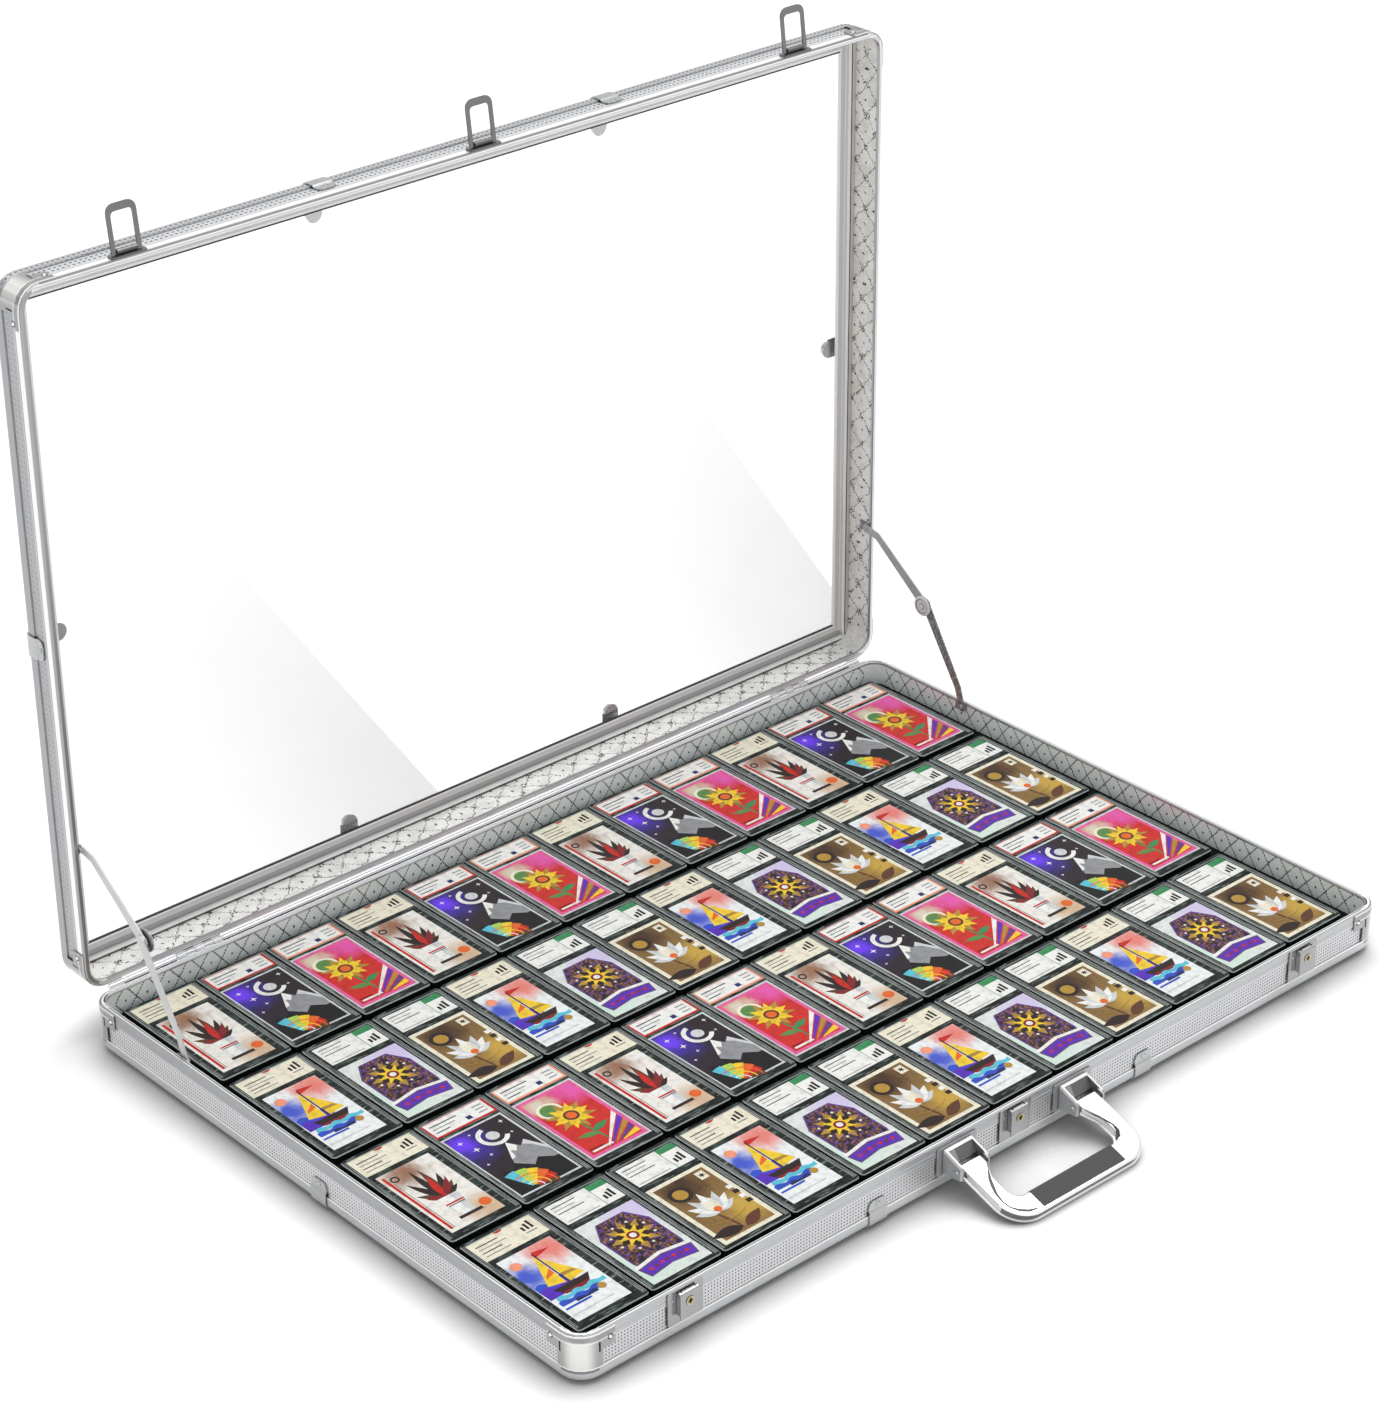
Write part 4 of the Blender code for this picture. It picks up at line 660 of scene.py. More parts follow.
def place_piece(name, data, body, place=Matrix()):
    """A new object with this mesh, riding on a body."""
    piece = bpy.data.objects.new(name, data)
    piece.matrix_world = place
    bpy.context.scene.collection.objects.link(piece)
    bpy.context.view_layer.update()
    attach(piece, body)
    return piece


class Sculpt:
    """A mesh under construction, with one material slot per finish."""

    def __init__(self):
        self.mesh = bmesh.new()
        self.slots = []

    def slot(self, finish):
        if finish not in self.slots:
            self.slots.append(finish)
        return self.slots.index(finish)

    def points(self, places):
        return [self.mesh.verts.new(place) for place in places]

    def loop(self, points, height):
        return self.points((x, y, height) for x, y in points)

    def skin(self, lower, upper, finish):
        """Quads between two loops of equal length, in one finish or in the one for each face's centre."""
        count = len(lower)
        for i in range(count):
            j = (i + 1) % count
            face = self.mesh.faces.new((lower[i], lower[j], upper[j], upper[i]))
            chosen = finish if isinstance(finish, Finish) else finish(face.calc_center_median())
            face.material_index = self.slot(chosen)

    def cap(self, loop, finish):
        face = self.mesh.faces.new(loop)
        face.material_index = self.slot(finish)

    def loft(self, loops, coats, first, last):
        """A closed skin over the loops, with a finish for each step between two of them and for the ends."""
        self.cap(loops[0][::-1], first)
        for lower, upper, coat in zip(loops, loops[1:], coats):
            self.skin(lower, upper, coat)
        self.cap(loops[-1], last)

    def stack(self, outline, profile, first, last):
        """A closed skin over level loops, from a profile of (inset, height, finish below this height)."""
        loops = [self.loop(outline(inset), height) for inset, height, _ in profile]
        self.loft(loops, [coat for _, _, coat in profile[1:]], first, last)

    def plate(self, points, low, high, finish):
        """A flat shape with a thin edge, from low to high."""
        bottom = self.loop(points, low)
        top = self.loop(points, high)
        self.skin(bottom, top, finish)
        self.cap(top, finish)

    def done(self, name):
        data = bpy.data.meshes.new(name)
        bmesh.ops.recalc_face_normals(self.mesh, faces=self.mesh.faces)
        self.mesh.to_mesh(data)
        self.mesh.free()
        for finish in self.slots:
            data.materials.append(finish.material)
        return data

    def piece(self, name, body, place=Matrix()):
        return place_piece(name, self.done(name), body, place)


# The slabs lie in a grid of equal places on a black insert, set back from the walls so that none is hidden.
SLAB_COLUMNS = 12
SLAB_ROWS = 4
FIELD_LEFT = CASE_LOW.x + 20.8 * MM
FIELD_RIGHT = CASE_HIGH.x - 16.5 * MM
FIELD_FRONT = CASE_LOW.y + 22 * MM
FIELD_BACK = CASE_HIGH.y - 9 * MM
PITCH_X = (FIELD_RIGHT - FIELD_LEFT) / SLAB_COLUMNS
PITCH_Y = (FIELD_BACK - FIELD_FRONT) / SLAB_ROWS
COLUMN_GAP = 2.4 * MM
ROW_GAP = 7 * MM
SLAB_HALF = Vector(((PITCH_X - COLUMN_GAP) / 2, (PITCH_Y - ROW_GAP) / 2))
SLAB_THICK = 6 * MM
SLAB_RADIUS = 3 * MM
SHELL_EDGE = 0.9 * MM
SHELL_RIM = 3.3 * MM
SHELL_STEP = 0.8 * MM
SHELL_FOOT = 0.5 * MM
SHELL_SLOPE = 0.3 * MM
RIB_PITCH = 1.3 * MM
LAYER = 0.012 * MM
TRAY_LOW, TRAY_HIGH = (Vector(corner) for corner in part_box("card_tray"))

PRINT_COLOURS = {
    "white": (238, 238, 234), "pale": (208, 211, 212), "grey": (146, 147, 150), "black": (22, 20, 22),
    "red": (198, 40, 32), "maroon": (132, 34, 38), "brown": (96, 58, 40), "dark": (44, 31, 29),
    "tan": (200, 164, 122), "orange": (228, 104, 40), "yellow": (242, 204, 52), "gold": (178, 140, 58),
    "green": (56, 142, 88), "leaf": (92, 138, 76), "cyan": (92, 192, 214), "blue": (48, 82, 196),
    "navy": (34, 44, 98), "violet": (88, 48, 186), "purple": (98, 62, 136), "pink": (226, 96, 156),
    "peach": (240, 152, 122), "cream": (236, 230, 208), "lime": (176, 208, 96),
}


def print_finish(name, colour):
    """Glossy printed card: a fine print screen over slightly uneven ink."""
    finish = Finish("print_" + name, colour, 0.36, specular_ior_level=0.14)
    ink = finish.noise(6 * MM, 2.0)
    screen = finish.noise(0.35 * MM, 1.0)
    finish.paint(ink.ease(0.42, 0.72) * 0.5, scaled(colour, 0.8))
    finish.paint(screen.ease(0.55, 0.75) * 0.2, [min(255, channel * 1.1 + 16) for channel in colour])
    finish.set("Roughness", screen * 0.12 + 0.3)
    finish.bump(screen, 0.004 * MM)
    return finish


def blended_finish(name, base, *glows):
    """A printed ground with soft patches: each glow is a colour, its centre and its reach in millimetres."""
    finish = print_finish("ground_" + name, base)
    cloud = finish.noise(9 * MM, 3.0)
    for colour, centre_x, centre_y, reach in glows:
        across = (finish.x - centre_x * MM) / (reach * MM)
        along = (finish.y - centre_y * MM) / (reach * MM)
        distance = across.distance(along) + (cloud - 0.5) * 0.7
        finish.paint(distance.ease(0.15, 1.0).inverse(), colour)
    return finish


def speckled_finish(name, base, colours, size):
    """A printed ground of small mottled spots in several colours."""
    finish = print_finish("ground_" + name, base)
    for step, colour in enumerate(colours):
        spots = finish.noise(size * (1 + 0.37 * step), 2.0, (1, 1, 1 + step))
        finish.paint(spots.ease(0.5, 0.58), colour)
    return finish


def shell_finishes():
    """The clear shell's faces: its edge, the painted highlight line on it, the ribbed sides with painted
    highlights on the ribs, and the smoky frame below with streaks of painted highlight.
    """
    edge = plastic("slab_shell", (22, 27, 26), 0.3, 0.5 * MM, 0.003 * MM, specular_ior_level=0.12)
    # A painted highlight line for the shell's edges.
    bright = plastic("slab_shell_highlight", (176, 184, 182), 0.16, 0.5 * MM, 0.003 * MM, coat_weight=0.3)
    ribbed = Finish("slab_shell_ribs", (16, 19, 18), 0.3, specular_ior_level=0.12)
    line = ((ribbed.x.size() * -1 + SLAB_HALF.x) / RIB_PITCH).cycle().ease(0.22, 0.44)
    rib = line * (ribbed.noise(7 * MM, 2.0, (0.4, 2.5, 1)).ease(0.3, 0.6) * 0.7 + 0.3)
    # Painted highlights on the ribs' crests.
    ribbed.paint(rib, (206, 212, 210))
    ribbed.set("Roughness", rib * 0.15 + 0.18)
    ribbed.bump(rib, 0.25 * MM)
    smoky = plastic("slab_frame", (16, 21, 20), 0.3, 0.5 * MM, 0.005 * MM, specular_ior_level=0.12)
    smoky.paint(smoky.noise(14 * MM, 3.0).ease(0.4, 0.7) * 0.6, (66, 80, 76))
    # Streaks of painted highlight on the smoky frame.
    smoky.paint(smoky.noise(5 * MM, 2.0, (3, 0.5, 1)).ease(0.56, 0.68) * 0.5, (150, 164, 158))
    return edge, bright, ribbed, smoky


inks = {name: print_finish(name, colour) for name, colour in PRINT_COLOURS.items()}
GROUND_TONES = {
    "leaves": ((236, 233, 226), ((206, 176, 146), 16, -50, 30), ((150, 110, 86), -6, 24, 26)),
    "night": ((40, 32, 38), ((70, 48, 160), -22, 20, 34), ((110, 60, 240), -20, 24, 16)),
    "flower": ((206, 46, 40), ((226, 90, 170), 20, 30, 30), ((214, 206, 186), -14, 24, 20)),
    "boat": ((236, 240, 240), ((226, 130, 120), 14, 24, 30), ((70, 90, 200), -20, 4, 26)),
    "pearl": ((222, 228, 224), ((206, 196, 228), 22, 20, 40), ((206, 228, 214), -20, -40, 40)),
    "pond": ((134, 104, 60), ((66, 44, 30), -4, 12, 30), ((196, 160, 70), 18, -34, 30)),
}
MOTTLE_TONES = ((150, 112, 60), (98, 62, 136), (40, 28, 40))
grounds = {name: blended_finish(name, *tones) for name, tones in GROUND_TONES.items()}
grounds["mottle"] = speckled_finish("mottle", (74, 46, 40), MOTTLE_TONES, 2.4 * MM)
SHELL, SHELL_HIGHLIGHT, SHELL_RIBS, SHELL_FRAME = shell_finishes()


class Print:
    """Draws thin flat shapes on a slab. Places are shares of the print's width from its lower left corner."""

    def __init__(self, build, place, level):
        left, right, top, foot = place
        self.build = build
        self.left = (2 * left - 1) * SLAB_HALF.x
        self.low = (1 - 2 * foot) * SLAB_HALF.y
        self.width = (right - left) * 2 * SLAB_HALF.x
        self.height = (foot - top) * 2 * SLAB_HALF.y / self.width
        self.level = level
        self.top = level

    def shape(self, ink, points):
        self.top += LAYER
        finish = ink if isinstance(ink, Finish) else inks[ink]
        places = [(self.left + x * self.width, self.low + y * self.width) for x, y in points]
        self.build.plate(places, self.level, self.top, finish)

    def bar(self, ink, left, low, right, high):
        self.shape(ink, [(left, low), (right, low), (right, high), (left, high)])

    def disc(self, ink, x, y, radius, squeeze=1.0, start=0, turn=360, steps=20):
        count = steps if turn == 360 else steps + 1
        angles = [math.radians(start + turn * step / steps) for step in range(count)]
        self.shape(ink, [(x + radius * math.cos(a), y + radius * squeeze * math.sin(a)) for a in angles])

    def arc(self, ink, x, y, inner, outer, start, turn, squeeze=1.0, steps=14):
        angles = [math.radians(start + turn * step / steps) for step in range(steps + 1)]
        out = [(x + outer * math.cos(a), y + outer * squeeze * math.sin(a)) for a in angles]
        back = [(x + inner * math.cos(a), y + inner * squeeze * math.sin(a)) for a in reversed(angles)]
        self.shape(ink, out + back)

    def star(self, ink, x, y, outer, inner, points, start=90):
        corners = []
        for step in range(2 * points):
            angle = math.radians(start + 180 * step / points)
            reach = inner if step % 2 else outer
            corners.append((x + reach * math.cos(angle), y + reach * math.sin(angle)))
        self.shape(ink, corners)

    def leaf(self, ink, x, y, length, width, angle, bend=0.0, steps=8):
        """A pointed leaf from its foot at x, y, turned by angle, with its tip bent sideways."""
        turn = math.radians(angle)
        shares = [step / steps for step in range(steps + 1)]
        outline = []
        for side, share in [(1, share) for share in shares] + [(-1, share) for share in shares[-2:0:-1]]:
            reach = length * share
            off = side * width * math.sin(math.pi * share ** 0.8) + bend * length * share ** 2
            outline.append((
                x + reach * math.cos(turn) - off * math.sin(turn),
                y + reach * math.sin(turn) + off * math.cos(turn)))
        self.shape(ink, outline)

    def wave(self, ink, left, right, low, high, swell, count, steps=24):
        """A band with a wavy top."""
        top = []
        for step in range(steps + 1):
            share = 1 - step / steps
            top.append((left + (right - left) * share, high + swell * math.sin(share * count * 2 * math.pi)))
        self.shape(ink, [(left, low), (right, low)] + top)


def card_leaves(art, height):
    """A fan of dark leaves in a white pot, with a low sun."""
    art.bar(grounds["leaves"], 0, 0, 1, height)
    art.bar("red", 0.05, 0.08, 0.1, height - 0.08)
    art.bar("black", 0.12, 0.08, 0.13, height - 0.3)
    art.disc("orange", 0.86, 0.3, 0.1)
    for step in range(9):
        art.bar("tan", 0.55 + 0.03 * step, 0.08 + 0.012 * step, 0.56 + 0.03 * step, 0.2)
    for angle, length, ink in (
            (35, 0.42, "brown"), (150, 0.44, "brown"), (60, 0.62, "dark"), (122, 0.66, "dark"),
            (78, 0.8, "brown"), (100, 0.86, "dark"), (18, 0.34, "dark"), (165, 0.3, "maroon"),
            (90, 0.6, "red"), (48, 0.5, "maroon")):
        art.leaf(ink, 0.52, 0.78, length, 0.06, angle, 0.12 if angle < 90 else -0.12)
    art.shape("white", [(0.34, 0.78), (0.4, 0.24), (0.64, 0.24), (0.7, 0.78)])
    art.shape("pale", [(0.56, 0.78), (0.55, 0.24), (0.64, 0.24), (0.7, 0.78)])
    art.bar("red", 0.36, 0.56, 0.68, 0.6)
    art.bar("black", 0.37, 0.52, 0.67, 0.54)
    art.bar("dark", 0.32, 0.18, 0.74, 0.24)
    art.arc("dark", 0.2, height - 0.22, 0.05, 0.075, 0, 350)


def card_night(art, height):
    """A moonlit peak with stars and a fan of foil colours."""
    art.bar(grounds["night"], 0, 0, 1, height)
    art.shape("grey", [(0.3, 0.42), (0.62, 1.12), (0.74, 0.92), (0.86, 1.02), (1.0, 0.72), (1.0, 0.42)])
    art.shape("white", [(0.44, 0.74), (0.62, 1.12), (0.7, 0.96), (0.62, 0.86), (0.56, 0.92), (0.52, 0.76)])
    art.shape("pale", [(0.78, 0.94), (0.86, 1.02), (1.0, 0.72), (1.0, 0.6), (0.88, 0.84)])
    art.shape("black", [
        (0.0, 0.3), (0.16, 0.62), (0.28, 0.5), (0.4, 0.66), (0.6, 0.44), (0.74, 0.56), (1.0, 0.36),
        (1.0, 0.0), (0.0, 0.0)])
    fan = ("cyan", "lime", "yellow", "orange", "red", "brown")
    for step, ink in enumerate(fan):
        art.arc(ink, 0.28, 0.02, 0.06, 0.5 - 0.025 * step, 112 - 21 * step, -21)
    for step, ink in enumerate(("white", "yellow", "orange")):
        art.arc(ink, 0.28, 0.02, 0.12 + 0.1 * step, 0.14 + 0.1 * step, 110, -118)
    art.arc("white", 0.6, 1.36, 0.17, 0.24, 100, 230)
    art.disc("pale", 0.6, 1.36, 0.1)
    for x, y, size in (
            (0.14, 1.5, 0.05), (0.9, 1.56, 0.045), (0.36, 1.58, 0.03), (0.86, 1.26, 0.03), (0.3, 1.02, 0.035),
            (0.12, 0.86, 0.03), (0.22, 1.24, 0.06)):
        art.star("white", x, y, size, size * 0.3, 4)


def card_flower(art, height):
    """A yellow flower on red, with slanted stripes in the corner."""
    art.bar("pink", 0, 0, 1, height)
    art.bar(grounds["flower"], 0.06, 0.06, 0.94, height - 0.06)
    art.disc("cream", 0.3, 1.28, 0.2)
    art.disc("leaf", 0.3, 1.28, 0.15)
    for step, ink in enumerate(("yellow", "purple", "gold", "violet", "white")):
        low = 0.1 + 0.13 * step
        art.shape(ink, [(0.94, low), (0.94, low + 0.11), (0.66 - 0.06 * step, 0.06 + low * 0.12 + 0.03),
                        (0.6 - 0.06 * step, 0.07)])
    art.leaf("green", 0.5, 0.2, 0.72, 0.02, 96, 0.05)
    art.leaf("leaf", 0.47, 0.42, 0.32, 0.06, 152, 0.2)
    art.leaf("green", 0.47, 0.5, 0.3, 0.06, 30, -0.2)
    for step in range(12):
        art.leaf("gold" if step % 2 else "yellow", 0.45, 1.0, 0.33 + 0.05 * (step % 2), 0.055, 30 * step + 8)
    for step in range(12):
        art.leaf("yellow", 0.45, 1.0, 0.25, 0.04, 30 * step + 22)
    art.disc("brown", 0.45, 1.0, 0.12)
    art.disc("orange", 0.45, 1.0, 0.08)
    art.bar("white", 0.1, 0.1, 0.46, 0.14)
    art.bar("maroon", 0.1, 0.17, 0.32, 0.19)


def card_boat(art, height):
    """A boat with yellow sails over blue waves."""
    art.bar(grounds["boat"], 0, 0, 1, height)
    art.disc("peach", 0.16, height - 0.26, 0.1)
    art.wave("blue", 0.02, 0.62, 0.66, 0.98, 0.05, 1.5)
    art.wave("violet", 0.02, 0.5, 0.62, 0.86, 0.04, 1.2)
    art.shape("yellow", [(0.48, 0.82), (0.5, 1.62), (0.2, 0.9)])
    art.shape("orange", [(0.48, 1.1), (0.49, 1.24), (0.33, 1.1), (0.29, 1.04)])
    art.shape("yellow", [(0.54, 0.8), (0.54, 1.5), (0.84, 0.86)])
    art.shape("gold", [(0.54, 0.96), (0.54, 1.04), (0.74, 1.02), (0.79, 0.95)])
    art.bar("dark", 0.505, 0.72, 0.53, 1.66)
    art.shape("red", [(0.53, 1.56), (0.53, 1.7), (0.82, 1.63)])
    art.shape("dark", [(0.2, 0.78), (0.3, 0.6), (0.72, 0.58), (0.86, 0.8)])
    art.shape("maroon", [(0.27, 0.66), (0.3, 0.6), (0.72, 0.58), (0.77, 0.66)])
    art.wave("cyan", 0.1, 0.96, 0.5, 0.6, 0.025, 3)
    art.wave("blue", 0.06, 0.8, 0.4, 0.5, 0.025, 2.5)
    art.wave("navy", 0.3, 0.7, 0.36, 0.42, 0.02, 1.5)
    art.disc("gold", 0.8, 0.42, 0.07)
    art.bar("blue", 0.05, 0.3, 0.52, 0.34)
    art.bar("pale", 0.05, 0.14, 0.8, 0.16)


def card_rosette(art, height):
    """A mottled window with a star rosette, over a ribbon."""
    art.bar(grounds["pearl"], 0, 0, 1, height)
    window = [(0.12, 0.34), (0.88, 0.34), (0.92, 0.5), (0.92, 1.14), (0.74, 1.46), (0.26, 1.46), (0.08, 1.14),
              (0.08, 0.5)]
    art.shape("purple", window)
    art.shape(grounds["mottle"], [(0.5 + (x - 0.5) * 0.94, 0.9 + (y - 0.9) * 0.96) for x, y in window])
    art.star("gold", 0.5, 0.98, 0.36, 0.2, 8, 90)
    art.star("dark", 0.5, 0.98, 0.3, 0.17, 8, 112)
    art.star("yellow", 0.5, 0.98, 0.24, 0.11, 8, 90)
    art.disc("maroon", 0.5, 0.98, 0.09)
    art.disc("white", 0.5, 0.98, 0.05)
    for step in range(8):
        angle = math.radians(45 * step + 22)
        art.disc("cream", 0.5 + 0.3 * math.cos(angle), 0.98 + 0.3 * math.sin(angle), 0.022, steps=8)
    art.shape("white", [(0.03, 0.42), (0.5, 0.5), (0.97, 0.42), (0.97, 0.36), (0.5, 0.44), (0.03, 0.36)])
    art.shape("purple", [(0.05, 0.36), (0.5, 0.44), (0.95, 0.36), (0.9, 0.14), (0.5, 0.2), (0.1, 0.14)])
    art.shape("violet", [(0.09, 0.33), (0.5, 0.4), (0.91, 0.33), (0.87, 0.17), (0.5, 0.23), (0.13, 0.17)])
    for step in range(7):
        level = 0.27 + 0.03 * math.sin(math.pi * step / 6)
        art.star("maroon" if step % 2 else "red", 0.2 + 0.1 * step, level, 0.05, 0.022, 5)


def card_lotus(art, height):
    """A white lotus on a golden pond."""
    art.bar("cream", 0, 0, 1, height)
    art.bar(grounds["pond"], 0.07, 0.07, 0.93, height - 0.07)
    art.disc("dark", 0.3, 1.22, 0.17)
    art.disc("gold", 0.3, 1.22, 0.11)
    art.bar("cream", 0.74, 1.28, 0.88, 1.46)
    art.star("dark", 0.81, 1.37, 0.055, 0.025, 6)
    for step in range(4):
        art.bar("white" if step % 2 else "dark", 0.86, 0.5 + 0.13 * step, 0.95, 0.58 + 0.13 * step)
    art.leaf("dark", 0.46, 0.16, 0.5, 0.1, 168, 0.1)
    art.leaf("brown", 0.5, 0.14, 0.42, 0.09, 20, 0.1)
    art.leaf("brown", 0.46, 0.12, 0.62, 0.018, 96, 0.1)
    for angle, length, ink in (
            (20, 0.34, "pale"), (160, 0.36, "pale"), (42, 0.42, "white"), (138, 0.44, "white"),
            (64, 0.46, "pale"), (116, 0.48, "pale"), (90, 0.5, "white"), (78, 0.34, "cream"),
            (104, 0.34, "cream")):
        art.leaf(ink, 0.46, 0.6, length, 0.07, angle)
    art.disc("orange", 0.46, 0.66, 0.06)
    art.arc("gold", 0.46, 0.5, 0.3, 0.32, 200, 140, 0.4)


def text_rows(tag, left, reaches, top, pitch, thick, row_inks=("black", "grey")):
    """Plain bars in place of text, downwards from a share of the label's height."""
    for step, reach in enumerate(reaches):
        low = tag.height * (top - pitch * step)
        tag.bar(row_inks[step % len(row_inks)], left, low, reach, low + thick)


def rising_bars(tag, start, width, low, high, rise):
    """Three black bars side by side, each higher than the one before."""
    for step in range(3):
        left = start + 0.065 * step
        tag.bar("black", left, tag.height * low, left + width, tag.height * (high + rise * step))


def label_tabbed(tag, ink):
    """Cream paper with a small coloured tab, thin rows and a bold mark at the right."""
    tag.bar("cream", 0, 0, 1, tag.height)
    tag.disc(ink, 0.5, tag.height - 0.02, 0.07, 0.6, 180, 180, 10)
    text_rows(tag, 0.08, (0.42, 0.5, 0.38, 0.46), 0.68, 0.17, 0.018)
    rising_bars(tag, 0.74, 0.035, 0.42, 0.62, 0.09)
    tag.bar("grey", 0.74, tag.height * 0.28, 0.91, tag.height * 0.33)


def label_bordered(tag, ink):
    """White paper in a coloured border."""
    tag.bar(ink, 0, 0, 1, tag.height)
    tag.bar("white", 0.03, 0.035, 0.97, tag.height - 0.035)
    text_rows(tag, 0.08, (0.52, 0.44, 0.3), 0.66, 0.2, 0.02)
    tag.bar("navy", 0.58, tag.height * 0.2, 0.66, tag.height * 0.4)
    text_rows(tag, 0.78, (0.92, 0.92, 0.92), 0.66, 0.2, 0.022, ("grey",))


def label_cornered(tag, ink):
    """White paper with a coloured corner over a marked box."""
    tag.bar("white", 0, 0, 1, tag.height)
    tag.bar(ink, 0.7, tag.height * 0.76, 1, tag.height)
    tag.bar(ink, 0.69, 0, 0.7, tag.height)
    text_rows(tag, 0.05, (0.46, 0.4, 0.5), 0.82, 0.16, 0.016)
    tag.bar("grey", 0.05, tag.height * 0.08, 0.6, tag.height * 0.11)
    rising_bars(tag, 0.76, 0.04, 0.2, 0.4, 0.08)


# The places of the label and of the card, as shares of the slab's width from the left and of its height from
# the label's end: left, right, top, foot.
TABBED_PLACES = ((0.05, 0.94, 0.015, 0.21), (0.115, 0.86, 0.25, 0.93))
BORDERED_PLACES = ((0.06, 0.94, 0.016, 0.187), (0.08, 0.9, 0.227, 0.92))
CORNERED_PLACES = ((0.1, 0.93, 0.04, 0.246), (0.085, 0.925, 0.3, 0.96))

# The first three kinds take turns in the first and third row from the back, the others in the rows between.
SLAB_KINDS = (
    ("leaves", card_leaves, label_tabbed, "red", TABBED_PLACES),
    ("night", card_night, label_bordered, "red", BORDERED_PLACES),
    ("flower", card_flower, label_bordered, "peach", BORDERED_PLACES),
    ("boat", card_boat, label_tabbed, "red", TABBED_PLACES),
    ("rosette", card_rosette, label_cornered, "green", CORNERED_PLACES),
    ("lotus", card_lotus, label_cornered, "green", CORNERED_PLACES),
)
CARD_BORDER = 0.035


def slab_mesh(name, picture, label, ink, places):
    """One slab from z 0 up: a clear shell's frame, with the label above the card."""
    def border(centre):
        """Ribs along the long sides and the plain smoky shell at the ends."""
        return SHELL_RIBS if abs(centre.y) < SLAB_HALF.y - SHELL_RIM else SHELL_FRAME

    build = Sculpt()
    floor = SLAB_THICK - SHELL_STEP
    # The shell's edge and its inner slope carry the painted highlight line.
    profile = (
        (SHELL_FOOT, 0, SHELL), (0, SHELL_FOOT, SHELL), (0, SLAB_THICK - SHELL_EDGE, SHELL),
        (SHELL_EDGE * 0.6, SLAB_THICK, SHELL_HIGHLIGHT), (SHELL_RIM, SLAB_THICK, border),
        (SHELL_RIM + SHELL_SLOPE, floor, SHELL_HIGHLIGHT))
    build.stack(insets(*SLAB_HALF, SLAB_RADIUS), profile, SHELL, SHELL_FRAME)
    tag, card = (Print(build, place, floor) for place in places)
    label(tag, ink)
    if label is label_bordered:
        card.bar("pale", -CARD_BORDER, -CARD_BORDER, 1 + CARD_BORDER, card.height + CARD_BORDER)
    picture(card, card.height)
    return build.done("slab_" + name)


def make_slabs():
    """Slabs in rows from the back and columns from the left."""
    meshes = [slab_mesh(*kind) for kind in SLAB_KINDS]
    for row in range(SLAB_ROWS):
        kinds = meshes[3:] if row % 2 else meshes[:3]
        for column in range(SLAB_COLUMNS):
            place = Vector((
                FIELD_LEFT + (column + 0.5) * PITCH_X,
                FIELD_BACK - (row + 0.5) * PITCH_Y,
                TRAY_HIGH.z - SLAB_THICK))
            name = f"slab_row{row + 1}_{column + 1:02d}"
            place_piece(name, kinds[column % 3], "base", Matrix.Translation(place))


INSERT_RADIUS = 13 * MM
INSERT_FOOT = 1 * MM
INSERT_EDGE = 0.8 * MM
INSERT_DROP = 0.3 * MM


def make_insert():
    """The black insert below the slabs."""
    foam = finishes["insert"]
    low, top = TRAY_LOW.z, TRAY_HIGH.z - SLAB_THICK - INSERT_DROP
    half = (TRAY_HIGH - TRAY_LOW).xy / 2
    centre = (TRAY_LOW + TRAY_HIGH) / 2
    profile = (
        (INSERT_FOOT, low, foam), (0, low + INSERT_FOOT, foam), (0, top - INSERT_EDGE, foam),
        (INSERT_EDGE, top, foam))
    build = Sculpt()
    build.stack(insets(*half, INSERT_RADIUS, 6), profile, foam, foam)
    build.piece("slab_insert", "base", Matrix.Translation((centre.x, centre.y, 0)))


# The handle hangs from its pivot at this angle. It is drawn level first, with places from the pivot.
HANDLE_PIVOT = (0, CASE_LOW.y - 16 * MM, CASE_LOW.z + 20.8 * MM)
HANDLE_DROOP = math.radians(18.2)
HANDLE_TURN = Matrix.Translation(HANDLE_PIVOT) @ Matrix.Rotation(HANDLE_DROOP, 4, "X")
HANDLE_HALF = Vector(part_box("handle")[1]).x
HANDLE_HEEL = 4.6 * MM
HANDLE_REACH = 63.6 * MM
HANDLE_ROOT = 24.6 * MM
HANDLE_ARM = 18 * MM
HANDLE_TAPER = 14 * MM
HANDLE_BAR = 22 * MM
HANDLE_CORNER = 26 * MM
HANDLE_HOLLOW = 9 * MM

# These are in millimetres. The bail's profile holds insets, heights and finishes, the creases' paths x, y and
# width, and the grip's section y and z. Every second loop of the grip is lower above its shoulder. The
# profile's lighter lip, light line at its step and darker side are lit and shaded copies of the chrome,
# painted light and shade, and the creases are strips of painted shade.
HANDLE_PROFILE = (
    (2.2, -4.0, "chrome"), (0.7, -3.8, "bright"), (0.0, -3.2, "bright"), (0.0, -2.2, "bright"),
    (0.4, -1.8, "rim"), (1.3, -1.6, "rim"), (1.3, 2.7, "chrome_shaded_side"), (1.6, 3.5, "chrome"),
    (2.3, 3.9, "chrome"), (3.2, 4.0, "chrome"))
CREASE_SHADE_PATHS = (
    ((-54, -7, 0.4), (-58.5, -13, 1.4), (-62.5, -19, 2.8), (-65.5, -25, 3.2), (-68.2, -32, 2.4),
     (-69.2, -40, 1.4), (-67.6, -47, 1.4), (-63.2, -52.6, 2.4), (-57.2, -56.6, 2.4), (-48, -58.6, 0.6)),
    ((51.6, -8, 0.4), (54.4, -15, 1.2), (58.6, -22, 1.6), (60.6, -29, 1.6), (60.2, -35, 3.0),
     (56.4, -39.6, 3.4), (51.4, -41.6, 0.8)))
CREASE_LAYERS = 6
